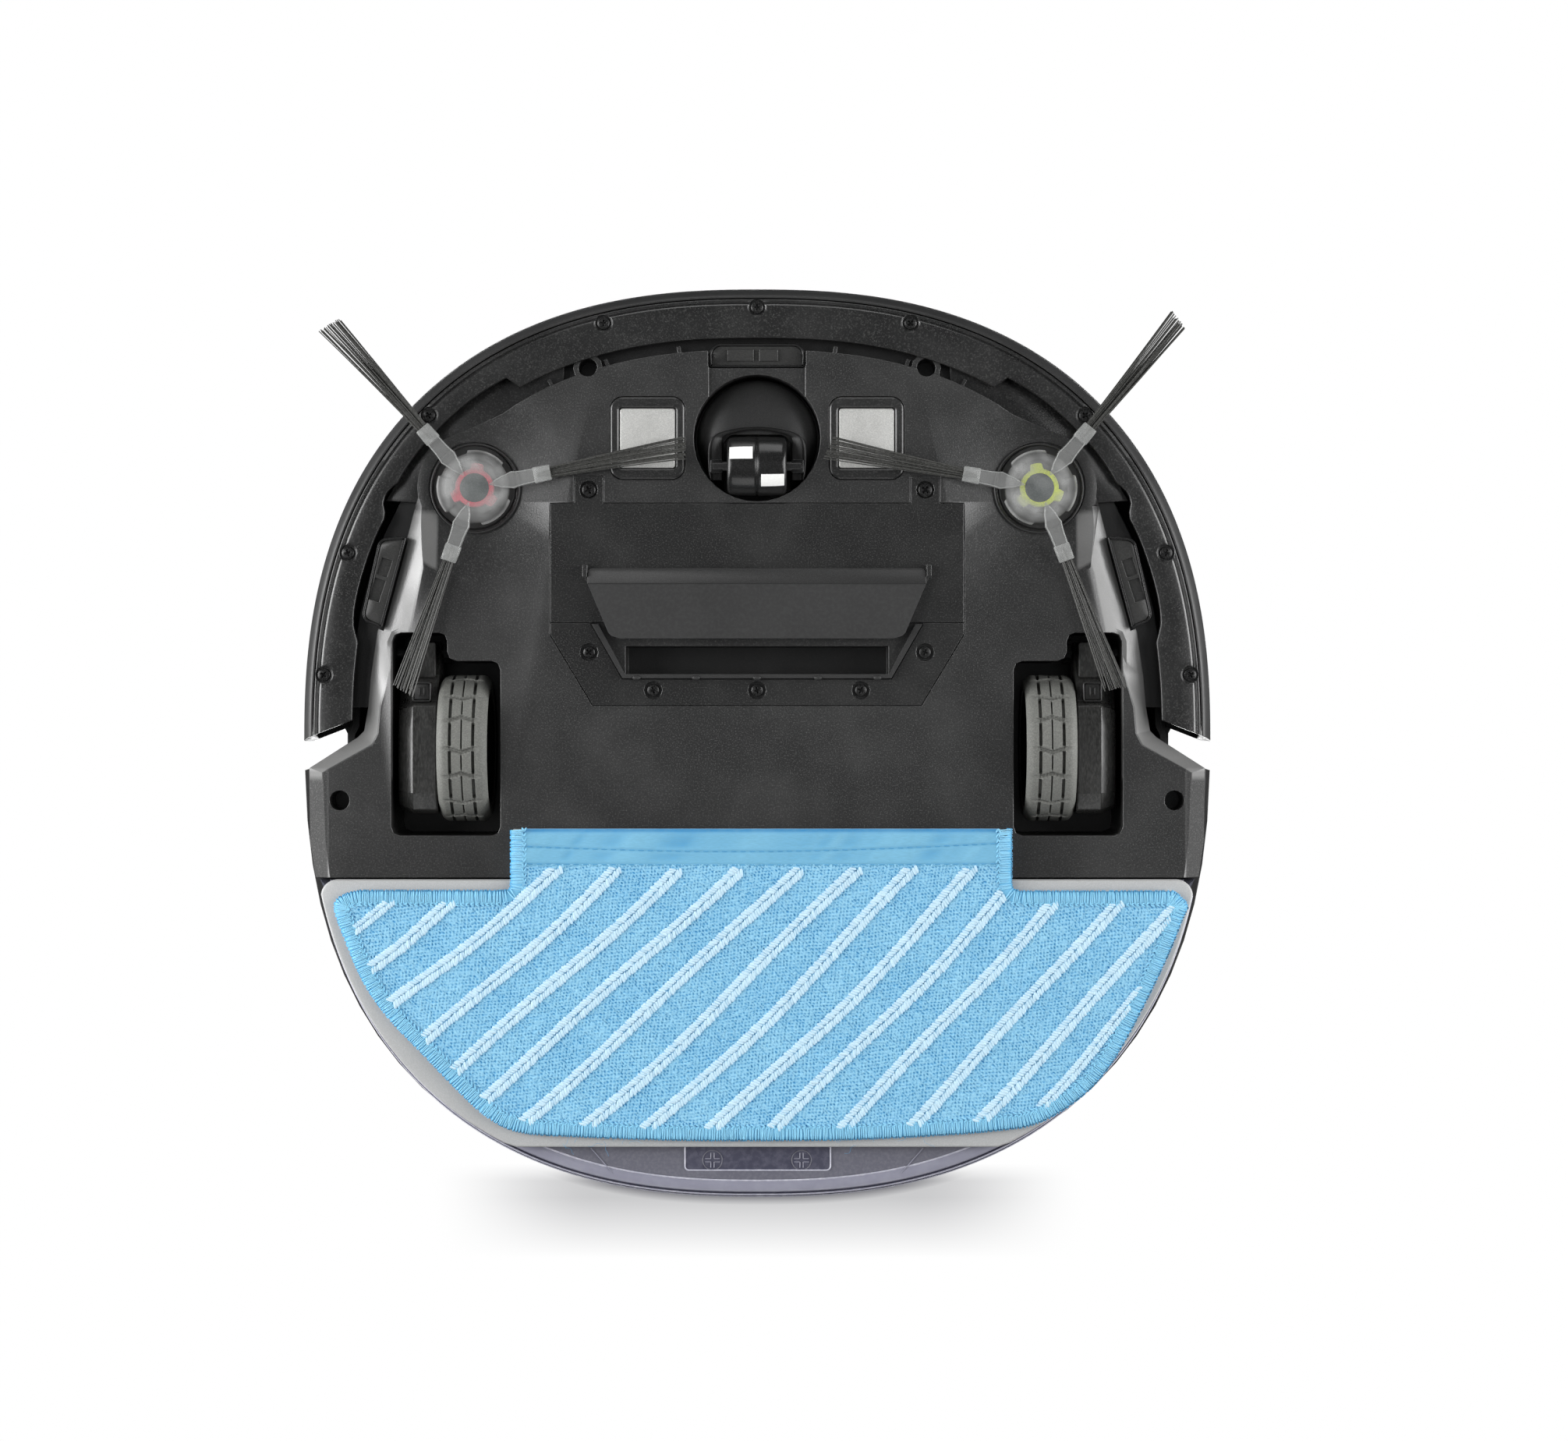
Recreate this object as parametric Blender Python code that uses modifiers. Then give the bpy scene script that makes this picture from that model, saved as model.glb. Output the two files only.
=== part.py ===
"""A slim robot vacuum cleaner with a mop plate, as separate pieces on real joints.

Metres, +Z up. The origin is on the floor under the middle of the body. The front of the machine
faces -Y, so its own left side is +X. It stands on its two drive wheels, its caster and its mop cloth.
"""

import math

import bmesh
import bpy
from mathutils import Matrix, Vector

SIDES = (("left", 1), ("right", -1))
GAP = 0.0003
PAST = 0.002

# The body's outline is |x|^n + |y|^n = radius^n at every level.
OUTLINE_POWER = 2.43
BODY_RADIUS = 0.155
NOTCH_END_Y = 0.0095

# Levels
FLOOR_Z = 0.0083
INSIDE_Z = 0.0120
SHOULDER_Z = 0.0140
RIM_Z = 0.0280
HOUSING_Z = 0.0284
OVERHANG_Z = 0.0534
ROOF_INSIDE_Z = 0.0532
TOP_Z = 0.0570

# Chassis, with its edge along the left flank, front to rear, at the floor, the shoulder and the rim
CHASSIS_FRONT = 0.1324
CHASSIS_FRONT_END_Y = -0.1109
WALL = 0.0025
FLOOR_EDGE = (
    (0.1083, -0.0800), (0.1124, -0.0590), (0.1166, -0.0376), (0.1237, -0.0226), (0.1268, -0.0120),
    (0.1276, -0.0030), (0.1295, 0.0008), (0.1462, 0.0102), (0.1453, 0.0330), (0.1439, 0.0454),
)
SHOULDER_EDGE = (
    (0.1157, -0.0800), (0.1210, -0.0590), (0.1285, -0.0376), (0.1307, -0.0226), (0.1316, -0.0120),
    (0.1330, -0.0040), (0.1352, -0.0018), (0.1515, 0.0086), (0.1512, 0.0330), (0.1494, 0.0454),
)
RIM_EDGE = SHOULDER_EDGE[:7] + ((0.1535, 0.0098), (0.1525, 0.0330), (0.1507, 0.0454))
FLANGE_RADIUS = 0.1383
FLANGE_END_Y = -0.012
FLANGE_Z = (0.0170, 0.0190)
CHANNEL_RIB_ANGLES = (-82, -72, -63)
DECK_RADIUS = 0.1545
DECK_Z = (0.0264, RIM_Z)
DECK_FRONT_Y = 0.0435
DEEP_HOLES = ((0.0571, -0.1265, 0.0032), (0.1406, 0.0194, 0.0034))

# Bumper
BUMPER_WALL = 0.0020
BUMPER_Z = (0.0093, 0.0529)
BUMPER_END_Y = -0.0004
BUMPER_END_SLOPE = 7 / 18
BUMPER_SHELF_RADIUS = 0.1425
RING_OUTER = 0.1513
RING_INNER = 0.1365
RING_Z = (0.0090, 0.0110)

# Housing
HOUSING_WALL_FRONT = 0.1385
HOUSING_PLATE_FRONT = 0.1450
HOUSING_FRONT_END_Y = -0.006
HOUSING_WALL = 0.0022
LID = (-0.080, -0.0246, 0.080, 0.060)
LID_CORNER = 0.018
LID_Z = 0.0548
LID_LEDGE_Z = 0.0545
LID_PIN = (-0.0273, 0.0552)
LID_PIN_RADIUS = 0.0008
LID_KNUCKLES = (0.049, 0.061)
BUTTON = (0.0, -0.070)
BUTTON_RADIUS = 0.0090

# Side brushes
BRUSH = (0.0958, -0.0864)
DISH_RADIUS = 0.0320
DISH_DEEP_RADIUS = 0.0160
DISH_DEEP_Z = 0.0130
BULGE_RADIUS = 0.0190
MOTOR_RADIUS = 0.0149
HUB_RADIUS = 0.0127
ARM_END = 0.0263
TUFT_END = 0.0730
ARM_ANGLES = {"left": (-50, 70, 190), "right": (-11, 109, 229)}

# Caster
SWIVEL = (0.0, -0.1027)
CASTER_WHEEL = (0.0, -0.0932, 0.0100)
CASTER_RADIUS = 0.0100
CUP_RADIUS = 0.0214
TURRET_RADIUS = 0.0206

# Drive wheels
WHEEL = (0.0990, 0.0019, 0.0250)
TYRE_RADIUS = 0.0250
TYRE_WIDTH = 0.0170
TYRE_INSIDE = 0.0201
PIVOT = (-0.0310, 0.0300)
PIN_RADIUS = 0.0020
WELL = (
    (0.0864, -0.0276), (0.1043, -0.0276), (0.1043, -0.0372),
    (0.1233, -0.0372), (0.1233, 0.0313), (0.0864, 0.0313),
)
WELL_WALL = 0.0015
WELL_ROOF_Z = 0.0510

# Battery door and suction inlet
DOOR_HALF = 0.0696
DOOR_Y = (-0.0806, -0.04055)
DOOR_TAB = (0.0567, 0.0048, -0.0896)
DOOR_SCREW_Y = -0.0852
DOOR_TOP_Z = 0.0102
FRAME_HALF = ((0.0696, -0.04025), (0.0696, -0.0365), (0.0553, -0.0127))
FRAME_TOP_Z = 0.0104
FRAME_SCREWS = ((-0.0566, -0.0305), (-0.0350, -0.0177), (0.0, -0.0177), (0.0350, -0.0177), (0.0566, -0.0305))
MOUTH_FRONT = (0.0562, -0.04025)
MOUTH_REAR = (0.0454, -0.0214)
LIP_WALL = 0.0014
LIP_Z = (0.0063, 0.0103)
SLOT = (-0.0444, -0.0326, 0.0444, -0.0226)
SCREW_RADIUS = 0.0026
BOSS_Z = (0.0110, 0.0170)
BOSS_RADII = (0.0032, 0.0032)
PILOT_Z = (0.0100, 0.0160)
PILOT_RADII = (0.0015, 0.0015)
FLAP_HINGE = (-0.0578, 0.0066)
FLAP_FRONT_HALF = 0.0565
FLAP_REAR = (0.0488, -0.0350)
FLAP_REAR_Z = 0.0036

# Charge contacts and cliff sensors
CONTACT = (0.0369, -0.1026)
CONTACT_FRAME = (0.0249, 0.0276)
CONTACT_PLATE = (0.0187, 0.0201)
FRONT_WINDOW = (-0.0160, -0.1349, 0.0160, -0.1266)
SIDE_WINDOW = ((0.1186, -0.0685), (0.1282, -0.0660), (0.1338, -0.0415), (0.1266, -0.0385))

# Dust path
DUST_BIN = (-0.076, -0.0142, 0.076, 0.042)
DUST_BIN_Z = (0.0123, 0.0500)
BIN_MOUTH = (0.040, 0.017, 0.031)
BLOWER = (0.0, 0.092)
BLOWER_RADIUS = 0.032
BLOWER_Z = (0.0304, 0.0500)
IMPELLER_RADIUS = 0.027

# Mop
TANK_RADIUS = 0.1545
TANK_FRONT_Y = 0.0462
TANK_Z = (0.0084, 0.0261)
TANK_WALL = 0.0020
FILLER = (-0.060, 0.070, 0.0070)
PLATE_RADIUS = 0.1523
PLATE_Z = (0.0033, 0.0080)
PLATE_FRONT_Y = 0.0459
PLATE_REAR_Y = 0.1357
TONGUE_HALF = 0.0835
TONGUE_Y = 0.0290
CLOTH_RADIUS = 0.1485
CLOTH_Z = (0.0, 0.0030)
CLOTH_FRONT_Y = 0.0494
CLOTH_REAR_Y = 0.1336

CHARCOAL = ((0.035, 0.035, 0.036), 0.55, 0.0)
BLACK = ((0.012, 0.012, 0.013), 0.45, 0.0)
DARK_GREY = ((0.05, 0.05, 0.052), 0.6, 0.0)
MID_GREY = ((0.30, 0.30, 0.30), 0.5, 0.0)
RUBBER = ((0.16, 0.165, 0.155), 0.8, 0.0)
FROSTED = ((0.62, 0.62, 0.60), 0.35, 0.0)
RED = ((0.55, 0.03, 0.05), 0.4, 0.0)
LIME = ((0.60, 0.66, 0.05), 0.4, 0.0)
SMOKE = ((0.22, 0.21, 0.27), 0.15, 0.0)
BLUE = ((0.12, 0.47, 0.78), 0.95, 0.0)
SILVER = ((0.62, 0.62, 0.60), 0.35, 1.0)
STEEL = ((0.45, 0.45, 0.46), 0.35, 1.0)
BOARD_GREEN = ((0.03, 0.18, 0.08), 0.5, 0.0)
PALE_GREY = ((0.55, 0.55, 0.54), 0.9, 0.0)


# Outlines, as lists of (x, y)

def outline_point(radius, angle):
    """A point of the body's outline. Angle 0 is the left side, 90 degrees the rear."""
    across, along = math.cos(angle), math.sin(angle)
    return (
        math.copysign(radius * abs(across) ** (2 / OUTLINE_POWER), across),
        math.copysign(radius * abs(along) ** (2 / OUTLINE_POWER), along),
    )


def outline_angle(radius, y):
    """The angle at which the outline's left half reaches y."""
    return math.copysign(math.asin((abs(y) / radius) ** (OUTLINE_POWER / 2)), y)


def outline_arc(radius, start, end, count):
    return [outline_point(radius, start + (end - start) * i / (count - 1)) for i in range(count)]


def front_arc(radius, end_y, count=41):
    """The outline from the left side round the front to the right side, ending at end_y on both."""
    end = outline_angle(radius, end_y)
    return outline_arc(radius, end, -math.pi - end, count)


def rear_arc(radius, start_y, count=37):
    """The outline from the right side round the rear to the left side, starting at start_y on both."""
    start = outline_angle(radius, start_y)
    return outline_arc(radius, math.pi - start, start, count)


def rectangle(x0, y0, x1, y1):
    return [(x0, y0), (x1, y0), (x1, y1), (x0, y1)]


def rounded(corners, radius, steps=5):
    """The polygon with each corner rounded to the radius."""
    points = []
    for i, corner in enumerate(corners):
        here = Vector(corner)
        before = (Vector(corners[i - 1]) - here).normalized()
        after = (Vector(corners[(i + 1) % len(corners)]) - here).normalized()
        reach = radius / math.tan(before.angle(after) / 2)
        start, end = here + before * reach, here + after * reach
        centre = here + (before + after).normalized() * radius / math.sin(before.angle(after) / 2)
        for step in range(steps + 1):
            spoke = (start - centre).lerp(end - centre, step / steps)
            points.append(tuple(centre + spoke.normalized() * radius))
    return points


def whole(half):
    """A closed outline from its left half, front to rear."""
    mirror = [(-x, y) for x, y in reversed(half) if x > 1e-6]
    return list(half) + mirror


def signed_area(points):
    pairs = zip(points, points[1:] + points[:1])
    return sum(x0 * y1 - x1 * y0 for (x0, y0), (x1, y1) in pairs) / 2


def inset(points, distance):
    """The outline moved inwards by the distance, mitred at its corners."""
    turn = math.copysign(1, signed_area(points))
    moved = []
    for i, point in enumerate(points):
        here = Vector(point)
        before = (here - Vector(points[i - 1])).normalized()
        after = (Vector(points[(i + 1) % len(points)]) - here).normalized()
        along = (before + after).normalized()
        inward = Vector((-along.y, along.x)) * turn
        moved.append(tuple(here + inward * distance / max(along.dot(after), 0.5)))
    return moved


# Shapes

def fresh_scene():
    for obj in list(bpy.data.objects):
        bpy.data.objects.remove(obj, do_unlink=True)
    for name in ("robot_vacuum", "cutters"):
        collection = bpy.data.collections.new(name)
        bpy.context.scene.collection.children.link(collection)


def add_object(name, mesh, finish=None):
    """A part if it has a finish, else a cutter or a shape to join, which a render leaves out."""
    obj = bpy.data.objects.new(name, mesh)
    if finish is None:
        bpy.data.collections["cutters"].objects.link(obj)
        obj.hide_render = True
        obj.display_type = "WIRE"
        return obj
    bpy.data.collections["robot_vacuum"].objects.link(obj)
    colour, roughness, metallic = finish
    material = bpy.data.materials.new(name)
    material.use_nodes = True
    shader = material.node_tree.nodes["Principled BSDF"]
    shader.inputs["Base Color"].default_value = (*colour, 1)
    shader.inputs["Roughness"].default_value = roughness
    shader.inputs["Metallic"].default_value = metallic
    mesh.materials.append(material)
    return obj


def mesh_from(name, bm):
    bmesh.ops.recalc_face_normals(bm, faces=bm.faces)
    mesh = bpy.data.meshes.new(name)
    bm.to_mesh(mesh)
    bm.free()
    return mesh


def box(name, low, high, finish=None):
    bm = bmesh.new()
    size = Vector(high) - Vector(low)
    centre = (Vector(high) + Vector(low)) / 2
    bmesh.ops.create_cube(bm, size=1, matrix=Matrix.Translation(centre) @ Matrix.Diagonal((*size, 1)))
    return add_object(name, mesh_from(name, bm), finish)


def cone(name, x, y, levels, radii, finish=None, sides=32):
    """An upright cone or cylinder between two levels."""
    bm = bmesh.new()
    middle = Matrix.Translation((x, y, sum(levels) / 2))
    bmesh.ops.create_cone(
        bm, cap_ends=True, segments=sides, radius1=radii[0], radius2=radii[1],
        depth=levels[1] - levels[0], matrix=middle,
    )
    return add_object(name, mesh_from(name, bm), finish)


def rod(name, span, y, z, radius, finish=None, sides=16):
    """A cylinder along X."""
    bm = bmesh.new()
    lie_down = Matrix.Translation((sum(span) / 2, y, z)) @ Matrix.Rotation(math.pi / 2, 4, "Y")
    bmesh.ops.create_cone(
        bm, cap_ends=True, segments=sides, radius1=radius, radius2=radius,
        depth=abs(span[1] - span[0]), matrix=lie_down,
    )
    return add_object(name, mesh_from(name, bm), finish)


def turned(name, place, profile, finish=None, steps=24, along_x=0, closed=False):
    """A profile of (radius, height) turned round its axis: upright, or along +X or -X."""
    mesh = bpy.data.meshes.new(name)
    edges = [(i, i + 1) for i in range(len(profile) - 1)]
    if closed:
        edges.append((len(profile) - 1, 0))
    mesh.from_pydata([(radius, 0, height) for radius, height in profile], edges, [])
    obj = add_object(name, mesh, finish)
    obj.location = place
    obj.rotation_euler.y = along_x * math.pi / 2
    screw = obj.modifiers.new("turn", "SCREW")
    screw.steps = steps
    screw.render_steps = steps
    screw.use_merge_vertices = True
    screw.merge_threshold = 0.00005
    return obj


def plate(name, outlines, bottom, top, finish=None):
    """A flat outline, with any holes after it, given a thickness."""
    curve = bpy.data.curves.new(name, "CURVE")
    curve.dimensions = "2D"
    curve.fill_mode = "BOTH"
    curve.extrude = (top - bottom) / 2
    for outline in outlines:
        spline = curve.splines.new("POLY")
        spline.points.add(len(outline) - 1)
        spline.use_cyclic_u = True
        for point, (x, y) in zip(spline.points, outline):
            point.co = (x, y, 0, 1)
    drawn = bpy.data.objects.new(name + "_outline", curve)
    bpy.context.scene.collection.objects.link(drawn)
    drawn.location.z = (top + bottom) / 2
    bpy.context.view_layer.update()
    graph = bpy.context.evaluated_depsgraph_get()
    flat = bpy.data.meshes.new_from_object(drawn.evaluated_get(graph))
    flat.transform(drawn.matrix_world)
    bpy.data.objects.remove(drawn)
    bm = bmesh.new()
    bm.from_mesh(flat)
    bpy.data.meshes.remove(flat)
    bmesh.ops.remove_doubles(bm, verts=bm.verts, dist=0.000001)
    return add_object(name, mesh_from(name, bm), finish)


def loft(name, sections, finish=None):
    """Walls between outlines of equal length, given as (outline, level), with a cap at each end."""
    bm = bmesh.new()
    rings = [[bm.verts.new((x, y, level)) for x, y in outline] for outline, level in sections]
    count = len(rings[0])
    for low, high in zip(rings, rings[1:]):
        for i in range(count):
            after = (i + 1) % count
            bm.faces.new((low[i], low[after], high[after], high[i]))
    bm.faces.new(rings[0])
    bm.faces.new(rings[-1])
    bmesh.ops.remove_doubles(bm, verts=bm.verts, dist=0.000001)
    return add_object(name, mesh_from(name, bm), finish)


def combine(target, others, operation):
    for other in others:
        boolean = target.modifiers.new(other.name, "BOOLEAN")
        boolean.operation = operation
        boolean.solver = "EXACT"
        boolean.object = other


def cut(target, cutters):
    combine(target, cutters, "DIFFERENCE")


def join(target, others):
    combine(target, others, "UNION")


def smooth(obj, angle=30):
    obj.data.shade_smooth()
    obj.data.set_sharp_from_angle(angle=math.radians(angle))


# Chassis

def chassis_outline(flank):
    """Round the front, out round the side brush, then back along the flank."""
    half = outline_arc(CHASSIS_FRONT, -math.pi / 2, outline_angle(CHASSIS_FRONT, CHASSIS_FRONT_END_Y), 14)
    for degrees in range(-78, 11, 11):
        turn = math.radians(degrees)
        half.append((BRUSH[0] + BULGE_RADIUS * math.cos(turn), BRUSH[1] + BULGE_RADIUS * math.sin(turn)))
    return whole(half + list(flank))


def chassis_cavity():
    cavity = loft("chassis_cavity", [
        (inset(chassis_outline(FLOOR_EDGE), 0.0015), INSIDE_Z),
        (inset(chassis_outline(SHOULDER_EDGE), WALL), SHOULDER_Z + 0.0015),
        (inset(chassis_outline(RIM_EDGE), WALL), RIM_Z + PAST),
    ])
    for side, sign in SIDES:
        island = cone(f"dish_island_{side}", sign * BRUSH[0], BRUSH[1], (0.0110, 0.0155), (0.034, 0.034))
        cut(cavity, [island])
    return cavity


def well_outline(sign, grow=0.0):
    corners = inset([(x, y) for x, y in WELL], -grow)
    return [(sign * x, y) for x, y in rounded(corners, 0.003 + grow, 2)]


def chassis_additions():
    added = [
        cone("caster_cup", *SWIVEL, (0.0100, 0.0295), (0.0234, 0.0234)),
        box("suction_duct", (-0.047, -0.0345, 0.0110), (0.047, -0.018, 0.0340)),
    ]
    deck = [(-x, y) for x, y in rear_arc(DECK_RADIUS, 0.048, 31)]
    corners = [(-0.1505, DECK_FRONT_Y), (0.1505, DECK_FRONT_Y)]
    added.append(plate("tank_deck", [corners + deck], *DECK_Z))
    for side, sign in SIDES:
        walls = [well_outline(sign, WELL_WALL)]
        added.append(plate(f"well_walls_{side}", walls, 0.0105, WELL_ROOF_Z + WELL_WALL))
        for number, (x, y, radius) in enumerate(DEEP_HOLES, 1):
            wide = (radius + 0.0018,) * 2
            added.append(cone(f"deep_boss_{number}_{side}", sign * x, y, (0.0110, 0.0270), wide, sides=12))
        added.append(cone(f"door_boss_{side}", sign * DOOR_TAB[0], DOOR_SCREW_Y, BOSS_Z, BOSS_RADII, sides=8))
        for number, degrees in enumerate(CHANNEL_RIB_ANGLES, 1):
            inner = Vector(outline_point(0.1315, math.radians(degrees)))
            outer = Vector(outline_point(0.1350, math.radians(degrees)))
            across = Vector((inner.y - outer.y, outer.x - inner.x)).normalized() * 0.0006
            corners = [inner + across, outer + across, outer - across, inner - across]
            outline = [(sign * c.x, c.y) for c in corners]
            added.append(plate(f"channel_rib_{number}_{side}", [outline], 0.0120, 0.0175))
    for number, (x, y) in enumerate(FRAME_SCREWS, 1):
        added.append(cone(f"frame_boss_{number}", x, y, BOSS_Z, BOSS_RADII, sides=8))
    return added


def door_outline(grow=0.0):
    """The battery door without its screw tabs, widened by grow."""
    return rectangle(-DOOR_HALF - grow, DOOR_Y[0] - grow, DOOR_HALF + grow, DOOR_Y[1] + grow)


def door_tabs(name, bottom, top, grow=0.0):
    """The two screw tabs on the battery door's front edge, which overlap the door a little."""
    middle, half, front_y = DOOR_TAB
    tabs = []
    for side, sign in SIDES:
        x = sign * middle
        corners = rectangle(x - half - grow, front_y - grow, x + half + grow, DOOR_Y[0] + 0.0010)
        tabs.append(plate(f"{name}_{side}", [corners], bottom, top))
    return tabs


def chassis_cuts():
    x0, y0, x1, y1 = FRONT_WINDOW
    low = FLOOR_Z - PAST
    bin_half, bin_low, bin_high = BIN_MOUTH
    notch = rounded(rectangle(x0 - 0.0005, y0 - 0.004, x1 + 0.0005, y1 + 0.0004), 0.001, 2)
    cuts = [
        cone("cup_inside", *SWIVEL, (low, 0.0275), (CUP_RADIUS, CUP_RADIUS), sides=36),
        cone("post_hole", *SWIVEL, (0.0270, 0.0310), (0.0043, 0.0043), sides=20),
        plate("window_notch", [notch], low, FLANGE_Z[0] - 0.0002),
        plate("window_ramp", [rectangle(-0.0163, -0.1275, 0.0163, -0.1130)], low, 0.0096),
        plate("door_pocket", [door_outline(GAP)], low, DOOR_TOP_Z + 0.0004),
        *door_tabs("tab_pocket", low, DOOR_TOP_Z + 0.0004, GAP),
        box("battery_opening", (-0.0660, -0.0780, 0.0100), (0.0660, -0.0420, 0.0180)),
        plate("frame_pocket", [inset(whole(list(FRAME_HALF)), -GAP)], low, FRAME_TOP_Z + GAP),
        box("slot_cut", (SLOT[0], SLOT[1], 0.0100), (SLOT[2], SLOT[3], 0.0135)),
        box("duct_inside", (SLOT[0], SLOT[1], 0.0128), (SLOT[2], -0.0202, 0.0320)),
        box("duct_window", (-bin_half - 0.002, -0.0215, bin_low), (bin_half + 0.002, -0.0170, bin_high)),
    ]
    for side, sign in SIDES:
        centre = (sign * BRUSH[0], BRUSH[1])
        slope = (DISH_RADIUS - DISH_DEEP_RADIUS) / (DISH_DEEP_Z - FLOOR_Z)
        cuts.append(cone(f"dish_{side}", *centre, (low, DISH_DEEP_Z),
                         (DISH_RADIUS + slope * PAST, DISH_DEEP_RADIUS), sides=40))
        cuts.append(cone(f"motor_hole_{side}", *centre, (0.0125, 0.0165), (MOTOR_RADIUS + 0.0004,) * 2))
        cuts.append(plate(f"well_inside_{side}", [well_outline(sign)], low, WELL_ROOF_Z))
        cuts.append(rod(f"pivot_bore_{side}", (sign * 0.1010, sign * 0.1262), *PIVOT, PIN_RADIUS + GAP))
        width, depth = CONTACT_FRAME[0] / 2 + GAP, CONTACT_FRAME[1] / 2 + GAP
        x, y = sign * CONTACT[0], CONTACT[1]
        pocket = rounded(rectangle(x - width, y - depth, x + width, y + depth), 0.0043, 4)
        cuts.append(plate(f"contact_pocket_{side}", [pocket], low, 0.0108))
        window = [(sign * wx, wy) for wx, wy in inset(list(SIDE_WINDOW), -0.0005)]
        cuts.append(plate(f"side_window_notch_{side}", [window], low, 0.0164))
        for number, (x, y, radius) in enumerate(DEEP_HOLES, 1):
            wide = (radius, radius)
            cuts.append(cone(f"deep_hole_{number}_{side}", sign * x, y, (low, 0.0250), wide, sides=16))
        cuts.append(cone(f"door_pilot_{side}", sign * DOOR_TAB[0], DOOR_SCREW_Y, PILOT_Z, PILOT_RADII, sides=8))
    for number, (x, y) in enumerate(FRAME_SCREWS, 1):
        cuts.append(cone(f"frame_pilot_{number}", x, y, PILOT_Z, PILOT_RADII, sides=8))
    return cuts


def base_chassis():
    chassis = loft("base_chassis", [
        (chassis_outline(FLOOR_EDGE), FLOOR_Z),
        (chassis_outline(SHOULDER_EDGE), SHOULDER_Z),
        (chassis_outline(RIM_EDGE), RIM_Z),
    ], CHARCOAL)
    flange = plate("flange", [front_arc(FLANGE_RADIUS, FLANGE_END_Y, 31)], *FLANGE_Z)
    join(chassis, [flange])
    cut(chassis, [chassis_cavity()])
    join(chassis, chassis_additions())
    cut(chassis, chassis_cuts())


# Bumper

def bumper_end_y(radius):
    """The bumper's ends are cut on a slant, further forward on the inside."""
    return BUMPER_END_Y - (BODY_RADIUS - radius) * BUMPER_END_SLOPE


def bumper_shell():
    stations = 45
    low, high = BUMPER_Z
    outer, inner = BODY_RADIUS, BODY_RADIUS - BUMPER_WALL
    profile = [
        (outer - 0.0010, low), (outer, low + 0.0010), (outer, high - 0.0026),
        (outer - 0.0008, high - 0.0009), (outer - 0.0026, high), (BUMPER_SHELF_RADIUS, high),
        (BUMPER_SHELF_RADIUS, high - 0.0016), (inner, high - 0.0016),
        (inner, low + 0.0045), (RING_OUTER + 0.0004, low + 0.0035), (RING_OUTER + 0.0004, low),
    ]
    arcs = [front_arc(radius, bumper_end_y(radius), stations) for radius, _ in profile]
    bm = bmesh.new()
    levels = [level for _, level in profile]
    rows = [[bm.verts.new((*arc[i], level)) for arc, level in zip(arcs, levels)] for i in range(stations)]
    for here, after in zip(rows, rows[1:]):
        for k in range(len(profile)):
            nearby = (k + 1) % len(profile)
            bm.faces.new((here[k], here[nearby], after[nearby], after[k]))
    bm.faces.new(rows[0])
    bm.faces.new(rows[-1])
    shell = add_object("bumper_shell", mesh_from("bumper_shell", bm), BLACK)
    smooth(shell)


def bumper_ring():
    """The flat bottom of the bumper, which is narrower round the brushes and side sensors."""
    inner = front_arc(RING_INNER, bumper_end_y(RING_INNER), 71)
    bulged = []
    for x, y in inner:
        grow = 1.0
        for peak_y, reach, depth in ((-0.1014, 0.0260, 0.0054), (-0.0595, 0.0240, 0.0033)):
            if abs(x) > 0.080:
                grow += depth / RING_INNER * max(0.0, 1 - ((y - peak_y) / reach) ** 4) ** 0.5
        bulged.append((x * grow, y * grow))
    outer = front_arc(RING_OUTER, bumper_end_y(RING_OUTER), 45)
    plate("bumper_ring", [outer + bulged[::-1]], *RING_Z, CHARCOAL)


# Top side

def housing_outline(front_radius, notch):
    left = [(x, y) for x, y in reversed(notch)]
    right = [(-x, y) for x, y in notch]
    return front_arc(front_radius, HOUSING_FRONT_END_Y) + right + rear_arc(BODY_RADIUS, NOTCH_END_Y) + left


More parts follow.
